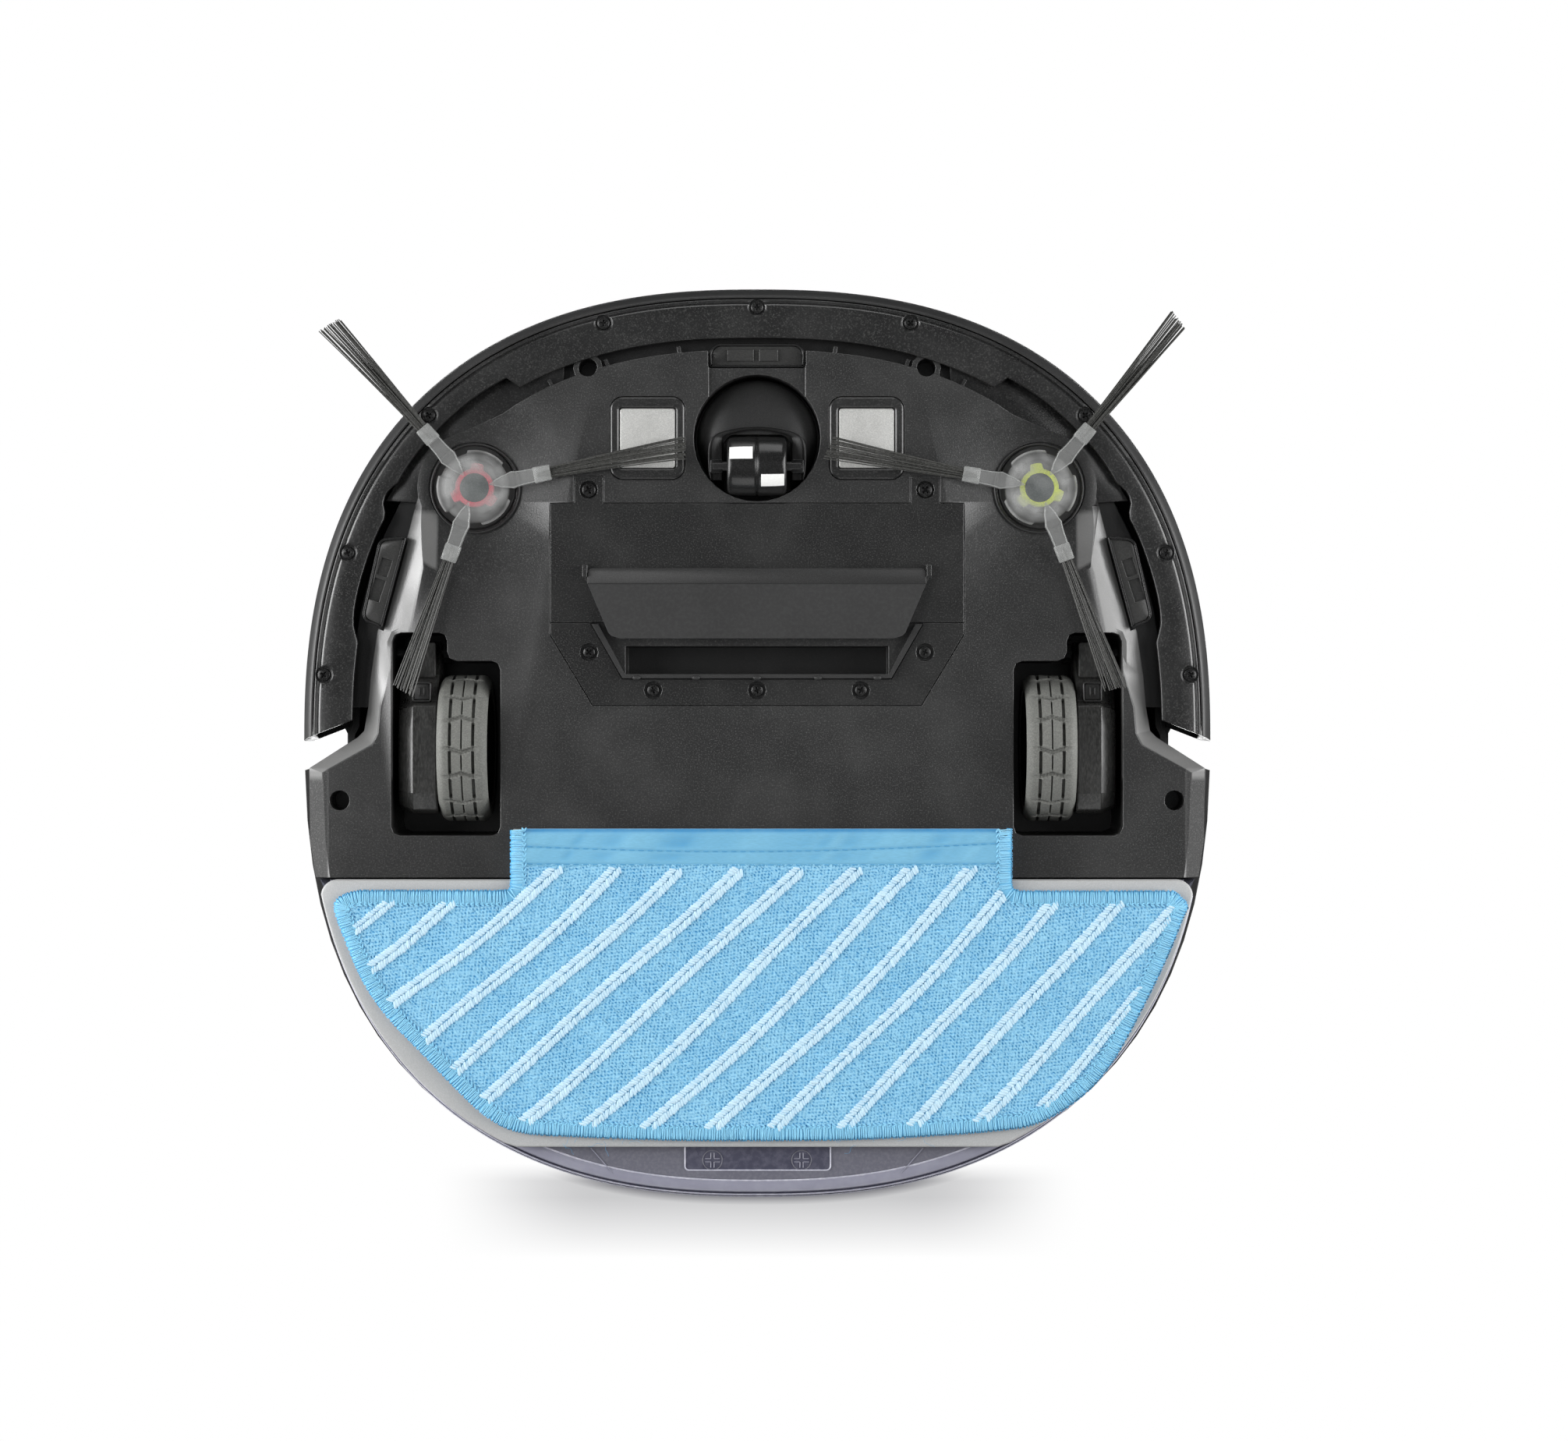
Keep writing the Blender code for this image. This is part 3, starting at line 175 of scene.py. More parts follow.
plastic = moulded("black_plastic", (0.013, 0.013, 0.013), (0.028, 0.028, 0.027), 0.40, 0.35 * MM, 0.02 * MM)
pit_black = moulded("pit_black", (0.006, 0.006, 0.006), (0.010, 0.010, 0.010), 0.55, 0.5 * MM, 0.02 * MM)
gloss = moulded("gloss_black", (0.010, 0.010, 0.010), (0.018, 0.018, 0.018), 0.26, 0.6 * MM, 0.004 * MM)
worn_plastic = moulded("worn_dark_plastic", (0.022, 0.022, 0.021), (0.052, 0.052, 0.050), 0.32, 0.5 * MM,
                       0.015 * MM, cloud=0.006, stretch=(1, 0.3, 1), swing=0.14)
sensor = moulded("sensor_smoke", (0.034, 0.034, 0.033), (0.048, 0.048, 0.047), 0.24, 0.5 * MM, 0.008 * MM)
screw_black = moulded("screw_black", (0.016, 0.016, 0.016), (0.060, 0.060, 0.060), 0.24, 0.4 * MM, 0.02 * MM,
                      0.1 * MM, metallic=0.5)
rubber = moulded("tyre_rubber", (0.122, 0.124, 0.114), (0.180, 0.183, 0.169), 0.72, 0.5 * MM, 0.03 * MM,
                 0.15 * MM, cloud=0.007)
black_rubber = moulded("black_rubber", (0.012, 0.012, 0.012), (0.025, 0.025, 0.025), 0.62, 0.3 * MM,
                       0.02 * MM)
flap_grey = moulded("flap_vinyl", (0.018, 0.018, 0.018), (0.025, 0.025, 0.025), 0.60, 1.2 * MM, 0.01 * MM,
                    0.2 * MM)
flap_dark = moulded("flap_binding", (0.010, 0.010, 0.010), (0.020, 0.020, 0.020), 0.6, 0.4 * MM, 0.03 * MM)
silver = moulded("contact_silver", (0.48, 0.48, 0.465), (0.64, 0.64, 0.62), 0.50, 0.35 * MM, 0.014 * MM,
                 0.25 * MM, cloud=0.004, metallic=0.40)
steel = moulded("steel", (0.40, 0.40, 0.41), (0.55, 0.55, 0.56), 0.32, 0.3 * MM, 0.004 * MM, metallic=1.0,
                stretch=(0.1, 1, 1))
dark_steel = moulded("dark_steel", (0.03, 0.03, 0.03), (0.07, 0.07, 0.07), 0.4, 0.3 * MM, 0.01 * MM,
                     metallic=0.4)
plate_grey = moulded("plate_grey", (0.40, 0.405, 0.405), (0.46, 0.465, 0.465), 0.42, 0.4 * MM, 0.02 * MM,
                     0.5 * MM)
button_grey = moulded("button_grey", (0.26, 0.26, 0.27), (0.33, 0.33, 0.34), 0.32, 0.3 * MM, 0.01 * MM)
white_label = moulded("white_label", (0.88, 0.88, 0.86), (0.94, 0.94, 0.92), 0.6, 0.6 * MM, 0.01 * MM,
                      0.05 * MM)
battery_wrap = moulded("battery_wrap", (0.03, 0.05, 0.10), (0.05, 0.07, 0.13), 0.35, 0.8 * MM, 0.02 * MM)
board_green = moulded("board_green", (0.015, 0.12, 0.05), (0.04, 0.22, 0.10), 0.42, 1.5 * MM, 0.05 * MM)
paper = moulded("filter_paper", (0.60, 0.59, 0.55), (0.75, 0.74, 0.70), 0.9, 0.4 * MM, 0.05 * MM,
                stretch=(8, 1, 1))
core_red = moulded("core_red", (0.50, 0.035, 0.070), (0.66, 0.08, 0.12), 0.45, 0.5 * MM, 0.01 * MM)
core_lime = moulded("core_lime", (0.52, 0.62, 0.02), (0.66, 0.74, 0.06), 0.45, 0.5 * MM, 0.01 * MM)
core_grey = moulded("core_grey", (0.045, 0.055, 0.055), (0.08, 0.09, 0.09), 0.5, 0.4 * MM, 0.02 * MM)
frosted = moulded("frosted_arm", (0.33, 0.335, 0.33), (0.38, 0.385, 0.38), 0.30, 1.6 * MM, 0.005 * MM,
                  0.2 * MM, cloud=0.004, Alpha=0.27)
sleeve_clear = moulded("sleeve_clear", (0.46, 0.47, 0.46), (0.56, 0.57, 0.56), 0.22, 1.6 * MM, 0.005 * MM,
                       0.2 * MM, cloud=0.003, Alpha=0.36)
smoked = moulded("smoked_clear", (0.075, 0.078, 0.100), (0.095, 0.098, 0.125), 0.18, 3 * MM, 0.004 * MM,
                 0.4 * MM, swing=0.03, Alpha=0.88)
tank_edge = moulded("tank_edge", (0.245, 0.245, 0.305), (0.275, 0.275, 0.335), 0.30, 5 * MM, 0.002 * MM,
                    0.3 * MM, cloud=0.06, swing=0.03)
tank_line = moulded("tank_line", (0.42, 0.42, 0.50), (0.55, 0.55, 0.62), 0.25, 2 * MM, 0.004 * MM, 0.1 * MM)
tank_dark = moulded("tank_dark", (0.065, 0.065, 0.095), (0.10, 0.10, 0.135), 0.22, 2 * MM, 0.004 * MM,
                    0.2 * MM)
tank_inner = moulded("tank_inner", (0.125, 0.125, 0.155), (0.155, 0.155, 0.185), 0.35, 1 * MM, 0.01 * MM)
bristle = moulded("bristle_nylon", (0.048, 0.048, 0.045), (0.088, 0.088, 0.083), 0.30, 0.6 * MM, 0.01 * MM,
                  0.0, cloud=0.0015)


def frosting(name, centre):
    """The brush hub's clear plastic, cloudier in patches round its middle and along its rim."""
    material, tree, shader = new_material(name, (0.44, 0.445, 0.44), 0.36)
    place = place_of(tree)
    fine = noise(tree, place, 0.8 * MM, 2.0, 0.6)
    patches = noise(tree, place, 6 * MM, 1.0)
    offset = vector_maths(tree, "SUBTRACT", place, (centre.x, centre.y, 0))
    flat = vector_maths(tree, "MULTIPLY", offset.outputs["Vector"], (1, 1, 0))
    length = vector_maths(tree, "LENGTH", flat.outputs["Vector"])
    ramp = tree.nodes.new("ShaderNodeValToRGB")
    stops = ((0.0, 0.16), (0.36, 0.18), (0.60, 0.34), (0.76, 0.30), (0.92, 0.10), (0.965, 0.34), (1.0, 0.42))
    while len(ramp.color_ramp.elements) < len(stops):
        ramp.color_ramp.elements.new(0.5)
    for element, (position, value) in zip(ramp.color_ramp.elements, stops):
        element.position = position
        element.color = (value, value, value, 1)
    link(tree, spread(tree, length.outputs["Value"], 0.0, 12.9 * MM), ramp.inputs["Fac"])
    cloudy = maths(tree, "MULTIPLY", ramp.outputs["Color"], spread(tree, patches, 0.38, 0.66, 0.65, 1.45))
    link(tree, cloudy, shader.inputs["Alpha"])
    link(tree, colour_mix(tree, fine, (0.36, 0.365, 0.36), (0.50, 0.505, 0.50)), shader.inputs["Base Color"])
    link(tree, spread(tree, patches, 0.3, 0.7, 0.28, 0.44), shader.inputs["Roughness"])
    bumped(tree, shader, fine, 0.015 * MM, 0.2 * MM)
    return material


def textile(name, hollow_shade_colour, high_colour, low_z, high_z, fibre=0.18 * MM, depth=0.10 * MM, roughness=0.85,
            sheen=0.25, patch=0.012, stretch=(1, 1, 1)):
    """Yarn with painted shade: darker in the hollows above its crests, which face the floor, than on the
    crests.
    """
    material, tree, shader = new_material(name, high_colour, roughness, Sheen_Weight=sheen,
                                          Sheen_Roughness=0.5)
    shader.inputs["Specular IOR Level"].default_value = 0.25
    place = place_of(tree)
    split = tree.nodes.new("ShaderNodeSeparateXYZ")
    link(tree, place, split.inputs["Vector"])
    # Painted shade: the colour darkens with height, from the pale crests up into the shaded hollows.
    crest_light_hollow_shade = spread(tree, split.outputs["Z"], low_z, high_z, 1.0, 0.0)
    strands = place_of(tree, stretch)
    fine = noise(tree, strands, fibre, 3.0, 0.65)
    patches = noise(tree, place, patch, 3.0, 0.6)
    yarn = colour_mix(tree, crest_light_hollow_shade, hollow_shade_colour, high_colour)
    darker = tuple(0.72 * c for c in high_colour)
    mottled = colour_mix(tree, spread(tree, fine, 0.35, 0.62, 0.45, 0.0), yarn, darker)
    paler = tuple(min(1.0, 1.12 * c + 0.02) for c in high_colour)
    final = colour_mix(tree, spread(tree, patches, 0.45, 0.75, 0.0, 0.22), mottled, paler)
    link(tree, final, shader.inputs["Base Color"])
    bumped(tree, shader, fine, depth)
    return material


terry = textile("microfibre_terry", (0.004, 0.255, 0.600), (0.320, 0.640, 0.835), 0.56 * MM, 0.94 * MM)
stripe_yarn = textile("stripe_yarn", (0.080, 0.400, 0.690), (0.560, 0.765, 0.890), 0.15 * MM, 0.80 * MM)
overlock_yarn = textile("overlock_yarn", (0.025, 0.290, 0.570), (0.260, 0.600, 0.820), 0.20 * MM, 0.90 * MM,
                        depth=0.06 * MM)
satin_tape = textile("satin_tape", (0.022, 0.230, 0.500), (0.185, 0.450, 0.635), 0.42 * MM, 1.3 * MM,
                     0.25 * MM, 0.012 * MM, 0.42, 0.15, 0.02, (0.12, 1, 1))
stitch_yarn = textile("stitch_yarn", (0.02, 0.22, 0.46), (0.16, 0.48, 0.72), 0.1 * MM, 0.6 * MM)


def chassis_charcoal():
    """The chassis plastic, tinted by position to match how the photo is lit: the real one has one colour.

    The front of the flanks is paler, the steep sides of the tank deck are matt, and the depths are darker.
    """
    material = charcoal.copy()
    material.name = "charcoal_chassis"
    tree = material.node_tree
    shader = tree.nodes["Principled BSDF"]
    split = tree.nodes.new("ShaderNodeSeparateXYZ")
    link(tree, place_of(tree), split.inputs["Vector"])
    aside = maths(tree, "ABSOLUTE", split.outputs["X"])
    outer = spread(tree, aside, 143.5 * MM, 145.0 * MM)
    matt = maths(tree, "MULTIPLY", outer, spread(tree, split.outputs["Y"], 7 * MM, 10 * MM))
    gloss_now = shader.inputs["Roughness"].links[0].from_socket
    link(tree, maths(tree, "MAXIMUM", gloss_now, maths(tree, "MULTIPLY", matt, 0.9)),
         shader.inputs["Roughness"])
    slope = maths(tree, "MULTIPLY", spread(tree, split.outputs["Z"], 8.55 * MM, 8.90 * MM),
                  spread(tree, split.outputs["Z"], 13.80 * MM, 14.10 * MM, 1.0, 0.0))
    flank = maths(tree, "MULTIPLY", spread(tree, aside, 107.5 * MM, 108.5 * MM),
                  spread(tree, split.outputs["Y"], -79 * MM, -77 * MM))
    front = maths(tree, "MULTIPLY", flank, spread(tree, split.outputs["Y"], 11 * MM, 13 * MM, 1.0, 0.0))
    tint_now = shader.inputs["Base Color"].links[0].from_socket
    pale = maths(tree, "MULTIPLY", maths(tree, "MULTIPLY", slope, front), 0.70)
    flanked = colour_mix(tree, pale, tint_now, (0.20, 0.20, 0.197))
    deep = spread(tree, split.outputs["Z"], 14.5 * MM, 17 * MM, 0.0, 0.85)
    link(tree, colour_mix(tree, deep, flanked, (0.004, 0.004, 0.004)), shader.inputs["Base Color"])
    return material


# Shapes

def outline_point(radius, angle):
    """A point of the body's outline. Angle 0 is the left side, 90 degrees the rear."""
    across, along = math.cos(angle), math.sin(angle)
    return (
        math.copysign(radius * abs(across) ** (2 / OUTLINE_POWER), across),
        math.copysign(radius * abs(along) ** (2 / OUTLINE_POWER), along),
    )


def outline_angle(radius, y):
    return math.copysign(math.asin((abs(y) / radius) ** (OUTLINE_POWER / 2)), y)


def outline_arc(radius, start, end, count):
    return [outline_point(radius, start + (end - start) * i / (count - 1)) for i in range(count)]


def front_arc(radius, end_y, count):
    end = outline_angle(radius, end_y)
    return outline_arc(radius, end, -math.pi - end, count)


def rectangle(x0, y0, x1, y1):
    return [(x0, y0), (x1, y0), (x1, y1), (x0, y1)]


def rounded(corners, radii, steps=6):
    """The polygon with its corners rounded to one radius, or to one each."""
    if not isinstance(radii, (list, tuple)):
        radii = [radii] * len(corners)
    points = []
    for i, (corner, radius) in enumerate(zip(corners, radii)):
        here = Vector(corner)
        before = (Vector(corners[i - 1]) - here).normalized()
        after = (Vector(corners[(i + 1) % len(corners)]) - here).normalized()
        reach = radius / math.tan(before.angle(after) / 2)
        start, end = here + before * reach, here + after * reach
        centre = here + (before + after).normalized() * radius / math.sin(before.angle(after) / 2)
        for step in range(steps + 1):
            spoke = (start - centre).lerp(end - centre, step / steps)
            points.append(tuple(centre + spoke.normalized() * radius))
    return points


def inset(points, distance):
    """The outline moved inwards by the distance."""
    pairs = zip(points, points[1:] + points[:1])
    turn = math.copysign(1, sum(x0 * y1 - x1 * y0 for (x0, y0), (x1, y1) in pairs))
    moved = []
    for i, point in enumerate(points):
        here = Vector(point)
        before = (here - Vector(points[i - 1])).normalized()
        after = (Vector(points[(i + 1) % len(points)]) - here).normalized()
        along = (before + after).normalized()
        inward = Vector((-along.y, along.x)) * turn
        moved.append(tuple(here + inward * distance / max(along.dot(after), 0.5)))
    return moved


def mesh_from(name, bm):
    bmesh.ops.recalc_face_normals(bm, faces=bm.faces)
    mesh = bpy.data.meshes.new(name)
    bm.to_mesh(mesh)
    bm.free()
    return mesh


def shape(name, points, faces):
    bm = bmesh.new()
    rows = [bm.verts.new(point) for point in points]
    for face in faces:
        bm.faces.new([rows[i] for i in face])
    return mesh_from(name, bm)


def skin(name, rings, closed=False):
    """Walls between rings of equally many points. The last ring joins the first, or each end has a cap."""
    bm = bmesh.new()
    rows = [[bm.verts.new(point) for point in ring] for ring in rings]
    count = len(rows[0])
    for here, after in zip(rows, rows[1:] + rows[:1] if closed else rows[1:]):
        for i in range(count):
            nearby = (i + 1) % count
            bm.faces.new((here[i], here[nearby], after[nearby], after[i]))
    if not closed:
        bm.faces.new(rows[0])
        bm.faces.new(rows[-1])
    return mesh_from(name, bm)


def loft(name, sections, closed=False):
    """Walls between outlines of equal length, given as (outline, level)."""
    return skin(name, [[(x, y, level) for x, y in outline] for outline, level in sections], closed)


def swept(name, arcs, levels):
    """A closed profile carried along arcs of equal length, one arc and one level to each of its points."""
    return skin(name, [[(*spot, level) for spot, level in zip(spots, levels)] for spots in zip(*arcs)])


def slab_faces(columns, rows):
    """The faces of a thin slab whose points are two grids of (columns + 1) by (rows + 1)."""
    layer = (columns + 1) * (rows + 1)

    def at(i, k, top):
        return top * layer + i * (rows + 1) + k

    faces = []
    for i in range(columns):
        for k in range(rows):
            for top in (0, 1):
                faces.append((at(i, k, top), at(i + 1, k, top), at(i + 1, k + 1, top), at(i, k + 1, top)))
    for i in range(columns):
        for k in (0, rows):
            faces.append((at(i, k, 0), at(i + 1, k, 0), at(i + 1, k, 1), at(i, k, 1)))
    for k in range(rows):
        for i in (0, columns):
            faces.append((at(i, k, 0), at(i, k + 1, 0), at(i, k + 1, 1), at(i, k, 1)))
    return faces


def soft_plate(name, outline, low, high, edge=0.3 * MM):
    """A flat piece whose rims are rounded over."""
    half = edge * 0.3
    return loft(name, [
        (inset(outline, edge), low), (inset(outline, half), low + half), (outline, low + edge),
        (outline, high - edge), (inset(outline, half), high - half), (inset(outline, edge), high),
    ])


def frame_plate(name, outer, inner, low, high, edge=0.2 * MM):
    """A flat ring between two outlines of equal length, its rims rounded over."""
    return loft(name, [
        (inset(outer, edge), low), (outer, low + edge), (outer, high - edge), (inset(outer, edge), high),
        (inset(inner, -edge), high), (inner, high - edge), (inner, low + edge), (inset(inner, -edge), low),
    ], closed=True)


def lathe(name, profile, centre, axis="Z", steps=64, sign=1, closed=False):
    """A profile of (radius, height) turned round its axis."""
    bm = bmesh.new()
    rings = []
    for radius, height in profile:
        if radius < 1e-7:
            rings.append([bm.verts.new(oriented(0, 0, height, centre, axis, sign))])
            continue
        turns = [2 * math.pi * i / steps for i in range(steps)]
        spots = [(radius * math.cos(turn), radius * math.sin(turn)) for turn in turns]
        rings.append([bm.verts.new(oriented(a, b, height, centre, axis, sign)) for a, b in spots])
    pairs = list(zip(rings, rings[1:]))
    if closed:
        pairs.append((rings[-1], rings[0]))
    for here, after in pairs:
        for i in range(steps):
            nearby = (i + 1) % steps
            places = ((here, i), (here, nearby), (after, nearby), (after, i))
            corners = [ring[place % len(ring)] for ring, place in places]
            unique = list(dict.fromkeys(corners))
            if len(unique) > 2:
                bm.faces.new(unique)
    return mesh_from(name, bm)


def oriented(a, b, height, centre, axis, sign):
    """A lathe's point: its height runs along Z, or along X towards the sign."""
    local = (a, b, height) if axis == "Z" else (sign * height, a, b)
    return Vector(local) + Vector(centre)


def tube(points, radii, sides=6):
    """(points, faces) of a closed tube along a path."""
    path = [Vector(p) for p in points]
    verts, faces = [], []
    for i, here in enumerate(path):
        along = (path[min(i + 1, len(path) - 1)] - path[max(i - 1, 0)]).normalized()
        helper = Vector((0, 0, 1)) if abs(along.z) < 0.9 else Vector((1, 0, 0))
        across = along.cross(helper).normalized()
        up = across.cross(along)
        radius = radii[i] if isinstance(radii, (list, tuple)) else radii
        for k in range(sides):
            turn = 2 * math.pi * k / sides
            verts.append(here + across * radius * math.cos(turn) + up * radius * math.sin(turn))
    for i in range(len(path) - 1):
        for k in range(sides):
            nearby = (k + 1) % sides
            faces.append((i * sides + k, i * sides + nearby, (i + 1) * sides + nearby, (i + 1) * sides + k))
    faces.append(tuple(range(sides))[::-1])
    faces.append(tuple(range((len(path) - 1) * sides, len(path) * sides)))
    return verts, faces


class Batch:
    """Many small closed shapes gathered into one mesh."""

    def __init__(self):
        self.points = []
        self.faces = []

    def add(self, made):
        points, faces = made
        base = len(self.points)
        self.points.extend(points)
        self.faces.extend([tuple(base + i for i in face) for face in faces])

    def mesh(self, name):
        mesh = bpy.data.meshes.new(name)
        mesh.from_pydata(self.points, [], self.faces)
        mesh.validate()
        return mesh


def ball_shape():
    """(points, faces) of a unit ball of quads."""
    bm = bmesh.new()
    bmesh.ops.create_cube(bm, size=1)
    bmesh.ops.subdivide_edges(bm, edges=bm.edges, cuts=2, use_grid_fill=True)
    points = [v.co.normalized() for v in bm.verts]
    for i, vert in enumerate(bm.verts):
        vert.index = i
    faces = [tuple(v.index for v in face.verts) for face in bm.faces]
    bm.free()
    return points, faces


BALL = ball_shape()


def knot(centre, along, length, width, height, blunt=1.0):
    """(points, faces) of a loop of yarn along a level direction. A low blunt squares its ends."""
    ahead = Vector((along[0], along[1], 0)).normalized()
    aside = Vector((-ahead.y, ahead.x, 0))
    points = [
        Vector(centre) + ahead * math.copysign(abs(p.x) ** blunt, p.x) * length / 2 + aside * p.y * width / 2
        + Vector((0, 0, p.z * height / 2))
        for p in BALL[0]
    ]
    return points, BALL[1]


def piece(name, mesh, material, body, replaces=(), angle=40):
    obj = bpy.data.objects.new(name, mesh)
    bpy.context.scene.collection.objects.link(obj)
    mesh.materials.clear()
    mesh.materials.append(material)
    mesh.shade_smooth()
    mesh.set_sharp_from_angle(angle=math.radians(angle))
    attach(obj, body)
    if replaces:
        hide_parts(*replaces)
    return obj


def cut_from(obj, cutters):
    """The piece with the cutters' meshes taken out of it, as a plain mesh."""
    for cutter in cutters:
        tool = bpy.data.objects.new("tool", cutter)
        bpy.context.scene.collection.objects.link(tool)
        boolean = obj.modifiers.new("cut", "BOOLEAN")
        boolean.operation = "DIFFERENCE"
        boolean.solver = "EXACT"
        boolean.object = tool
        bpy.context.view_layer.update()
        evaluated = obj.evaluated_get(bpy.context.evaluated_depsgraph_get())
        obj.data = bpy.data.meshes.new_from_object(evaluated)
        obj.modifiers.clear()
        bpy.data.objects.remove(tool)
    obj.data.shade_smooth()
    obj.data.set_sharp_from_angle(angle=math.radians(40))
    return obj


def finish_node(name, material):
    """A CAD node kept as it is: its facets shade smoothly where they should, and it gets its material."""
    obj = nodes[name]
    obj.data.materials.clear()
    obj.data.materials.append(material)
    if "custom_normal" in obj.data.attributes:
        obj.data.attributes.remove(obj.data.attributes["custom_normal"])
    obj.data.shade_smooth()
    weld = obj.modifiers.new("weld", "WELD")
    weld.merge_threshold = 0.002 * MM
    split = obj.modifiers.new("split", "EDGE_SPLIT")
    split.split_angle = math.radians(28)


# Camera, light and stage

# The camera looks straight up at the machine's underside.
CAMERA_PLACE = (0.0091, -0.0075, -1.1917)
CAMERA_LENS = 81.8
LIGHTS_AIM = (0, 0, 0.02)
FLOOR_REACH = 4.0
# The painted shadow is a sheet above the machine, which only a view from below shows.
SHADOW_HALF_WIDTH = 0.13
SHADOW_Y = (0.12, 0.20)
SHADOW_Z = 0.0585


def area_light(name, place, size, power):
    light = bpy.data.lights.new(name, "AREA")
    light.size = size
    light.energy = power
    obj = bpy.data.objects.new(name, light)
    obj.location = place
    bpy.context.scene.collection.objects.link(obj)
    aim = Vector(LIGHTS_AIM) - obj.location
    obj.rotation_euler = aim.to_track_quat("-Z", "Y").to_euler()


def camera_and_lights():
    scene = bpy.context.scene
    camera = bpy.data.objects.new("camera", bpy.data.cameras.new("camera"))
    camera.location = CAMERA_PLACE
    camera.rotation_euler = (math.pi, 0, 0)
    camera.data.lens = CAMERA_LENS
    camera.data.sensor_width = 36
    scene.collection.objects.link(camera)
    scene.camera = camera
    for side, sign, power in (("left", 1, 10), ("right", -1, 12.5)):
        area_light(f"key_{side}", (sign * 1.4, -0.15, -0.90), 1.3, power)
        area_light(f"edge_{side}", (sign * 1.5, -0.10, -0.16), 1.3, 3.2 * power)
        area_light(f"dish_{side}", (sign * 1.0, -0.20, -1.22), 0.65, 0.40 * power)
    area_light("front_low", (0, -1.8, -0.45), 1.1, 8)
    area_light("rear_low", (0, 1.7, -0.8), 1.1, 6)
    area_light("flat_below", (0.25, 0.1, -2.5), 1.7, 0.8)
    area_light("overhead", (0, -0.1, 2.0), 1.1, 30)
    world = bpy.data.worlds.new("studio")
    scene.world = world
    world.use_nodes = True
    tree = world.node_tree
    tree.nodes.clear()
    output = tree.nodes.new("ShaderNodeOutputWorld")
    dim, white = tree.nodes.new("ShaderNodeBackground"), tree.nodes.new("ShaderNodeBackground")
    dim.inputs["Color"].default_value = (0.92, 0.96, 1, 1)
    dim.inputs["Strength"].default_value = 0.05
    white.inputs["Strength"].default_value = 1.0
    white.inputs["Color"].default_value = (1, 1, 1, 1)
    rays, mix = tree.nodes.new("ShaderNodeLightPath"), tree.nodes.new("ShaderNodeMixShader")
    link(tree, rays.outputs["Is Camera Ray"], mix.inputs["Fac"])
    link(tree, dim.outputs["Background"], mix.inputs[1])
    link(tree, white.outputs["Background"], mix.inputs[2])
    link(tree, mix.outputs["Shader"], output.inputs["Surface"])
    scene.view_settings.view_transform = "Standard"


def one_sided(name):
    """A stage material that shows only from its front, fully or as strongly as the caller's nodes say."""
    material = bpy.data.materials.new(name)
    material.use_nodes = True
    tree = material.node_tree
    tree.nodes.clear()
    output = tree.nodes.new("ShaderNodeOutputMaterial")
    clear, mix = tree.nodes.new("ShaderNodeBsdfTransparent"), tree.nodes.new("ShaderNodeMixShader")
    sides, front = tree.nodes.new("ShaderNodeNewGeometry"), tree.nodes.new("ShaderNodeMath")
    front.operation = "SUBTRACT"
    front.inputs[0].default_value = 1.0
    link(tree, sides.outputs["Backfacing"], front.inputs[1])
    strength = tree.nodes.new("ShaderNodeMath")
    strength.operation = "MULTIPLY"
    link(tree, front.outputs["Value"], strength.inputs[0])
    strength.inputs[1].default_value = 1.0
    link(tree, strength.outputs["Value"], mix.inputs["Fac"])
    link(tree, clear.outputs["BSDF"], mix.inputs[1])
    link(tree, mix.outputs["Shader"], output.inputs["Surface"])
    return material, tree, mix, strength


def stage_sheet(name, corners, level, material):
    mesh = bpy.data.meshes.new(name)
    mesh.from_pydata([(x, y, level) for x, y in corners], [], [(0, 1, 2, 3)])
    mesh.materials.append(material)
    obj = bpy.data.objects.new(name, mesh)
    bpy.context.scene.collection.objects.link(obj)
    obj.visible_shadow = False
    obj.visible_diffuse = False
    obj.visible_glossy = False
    obj.visible_transmission = False


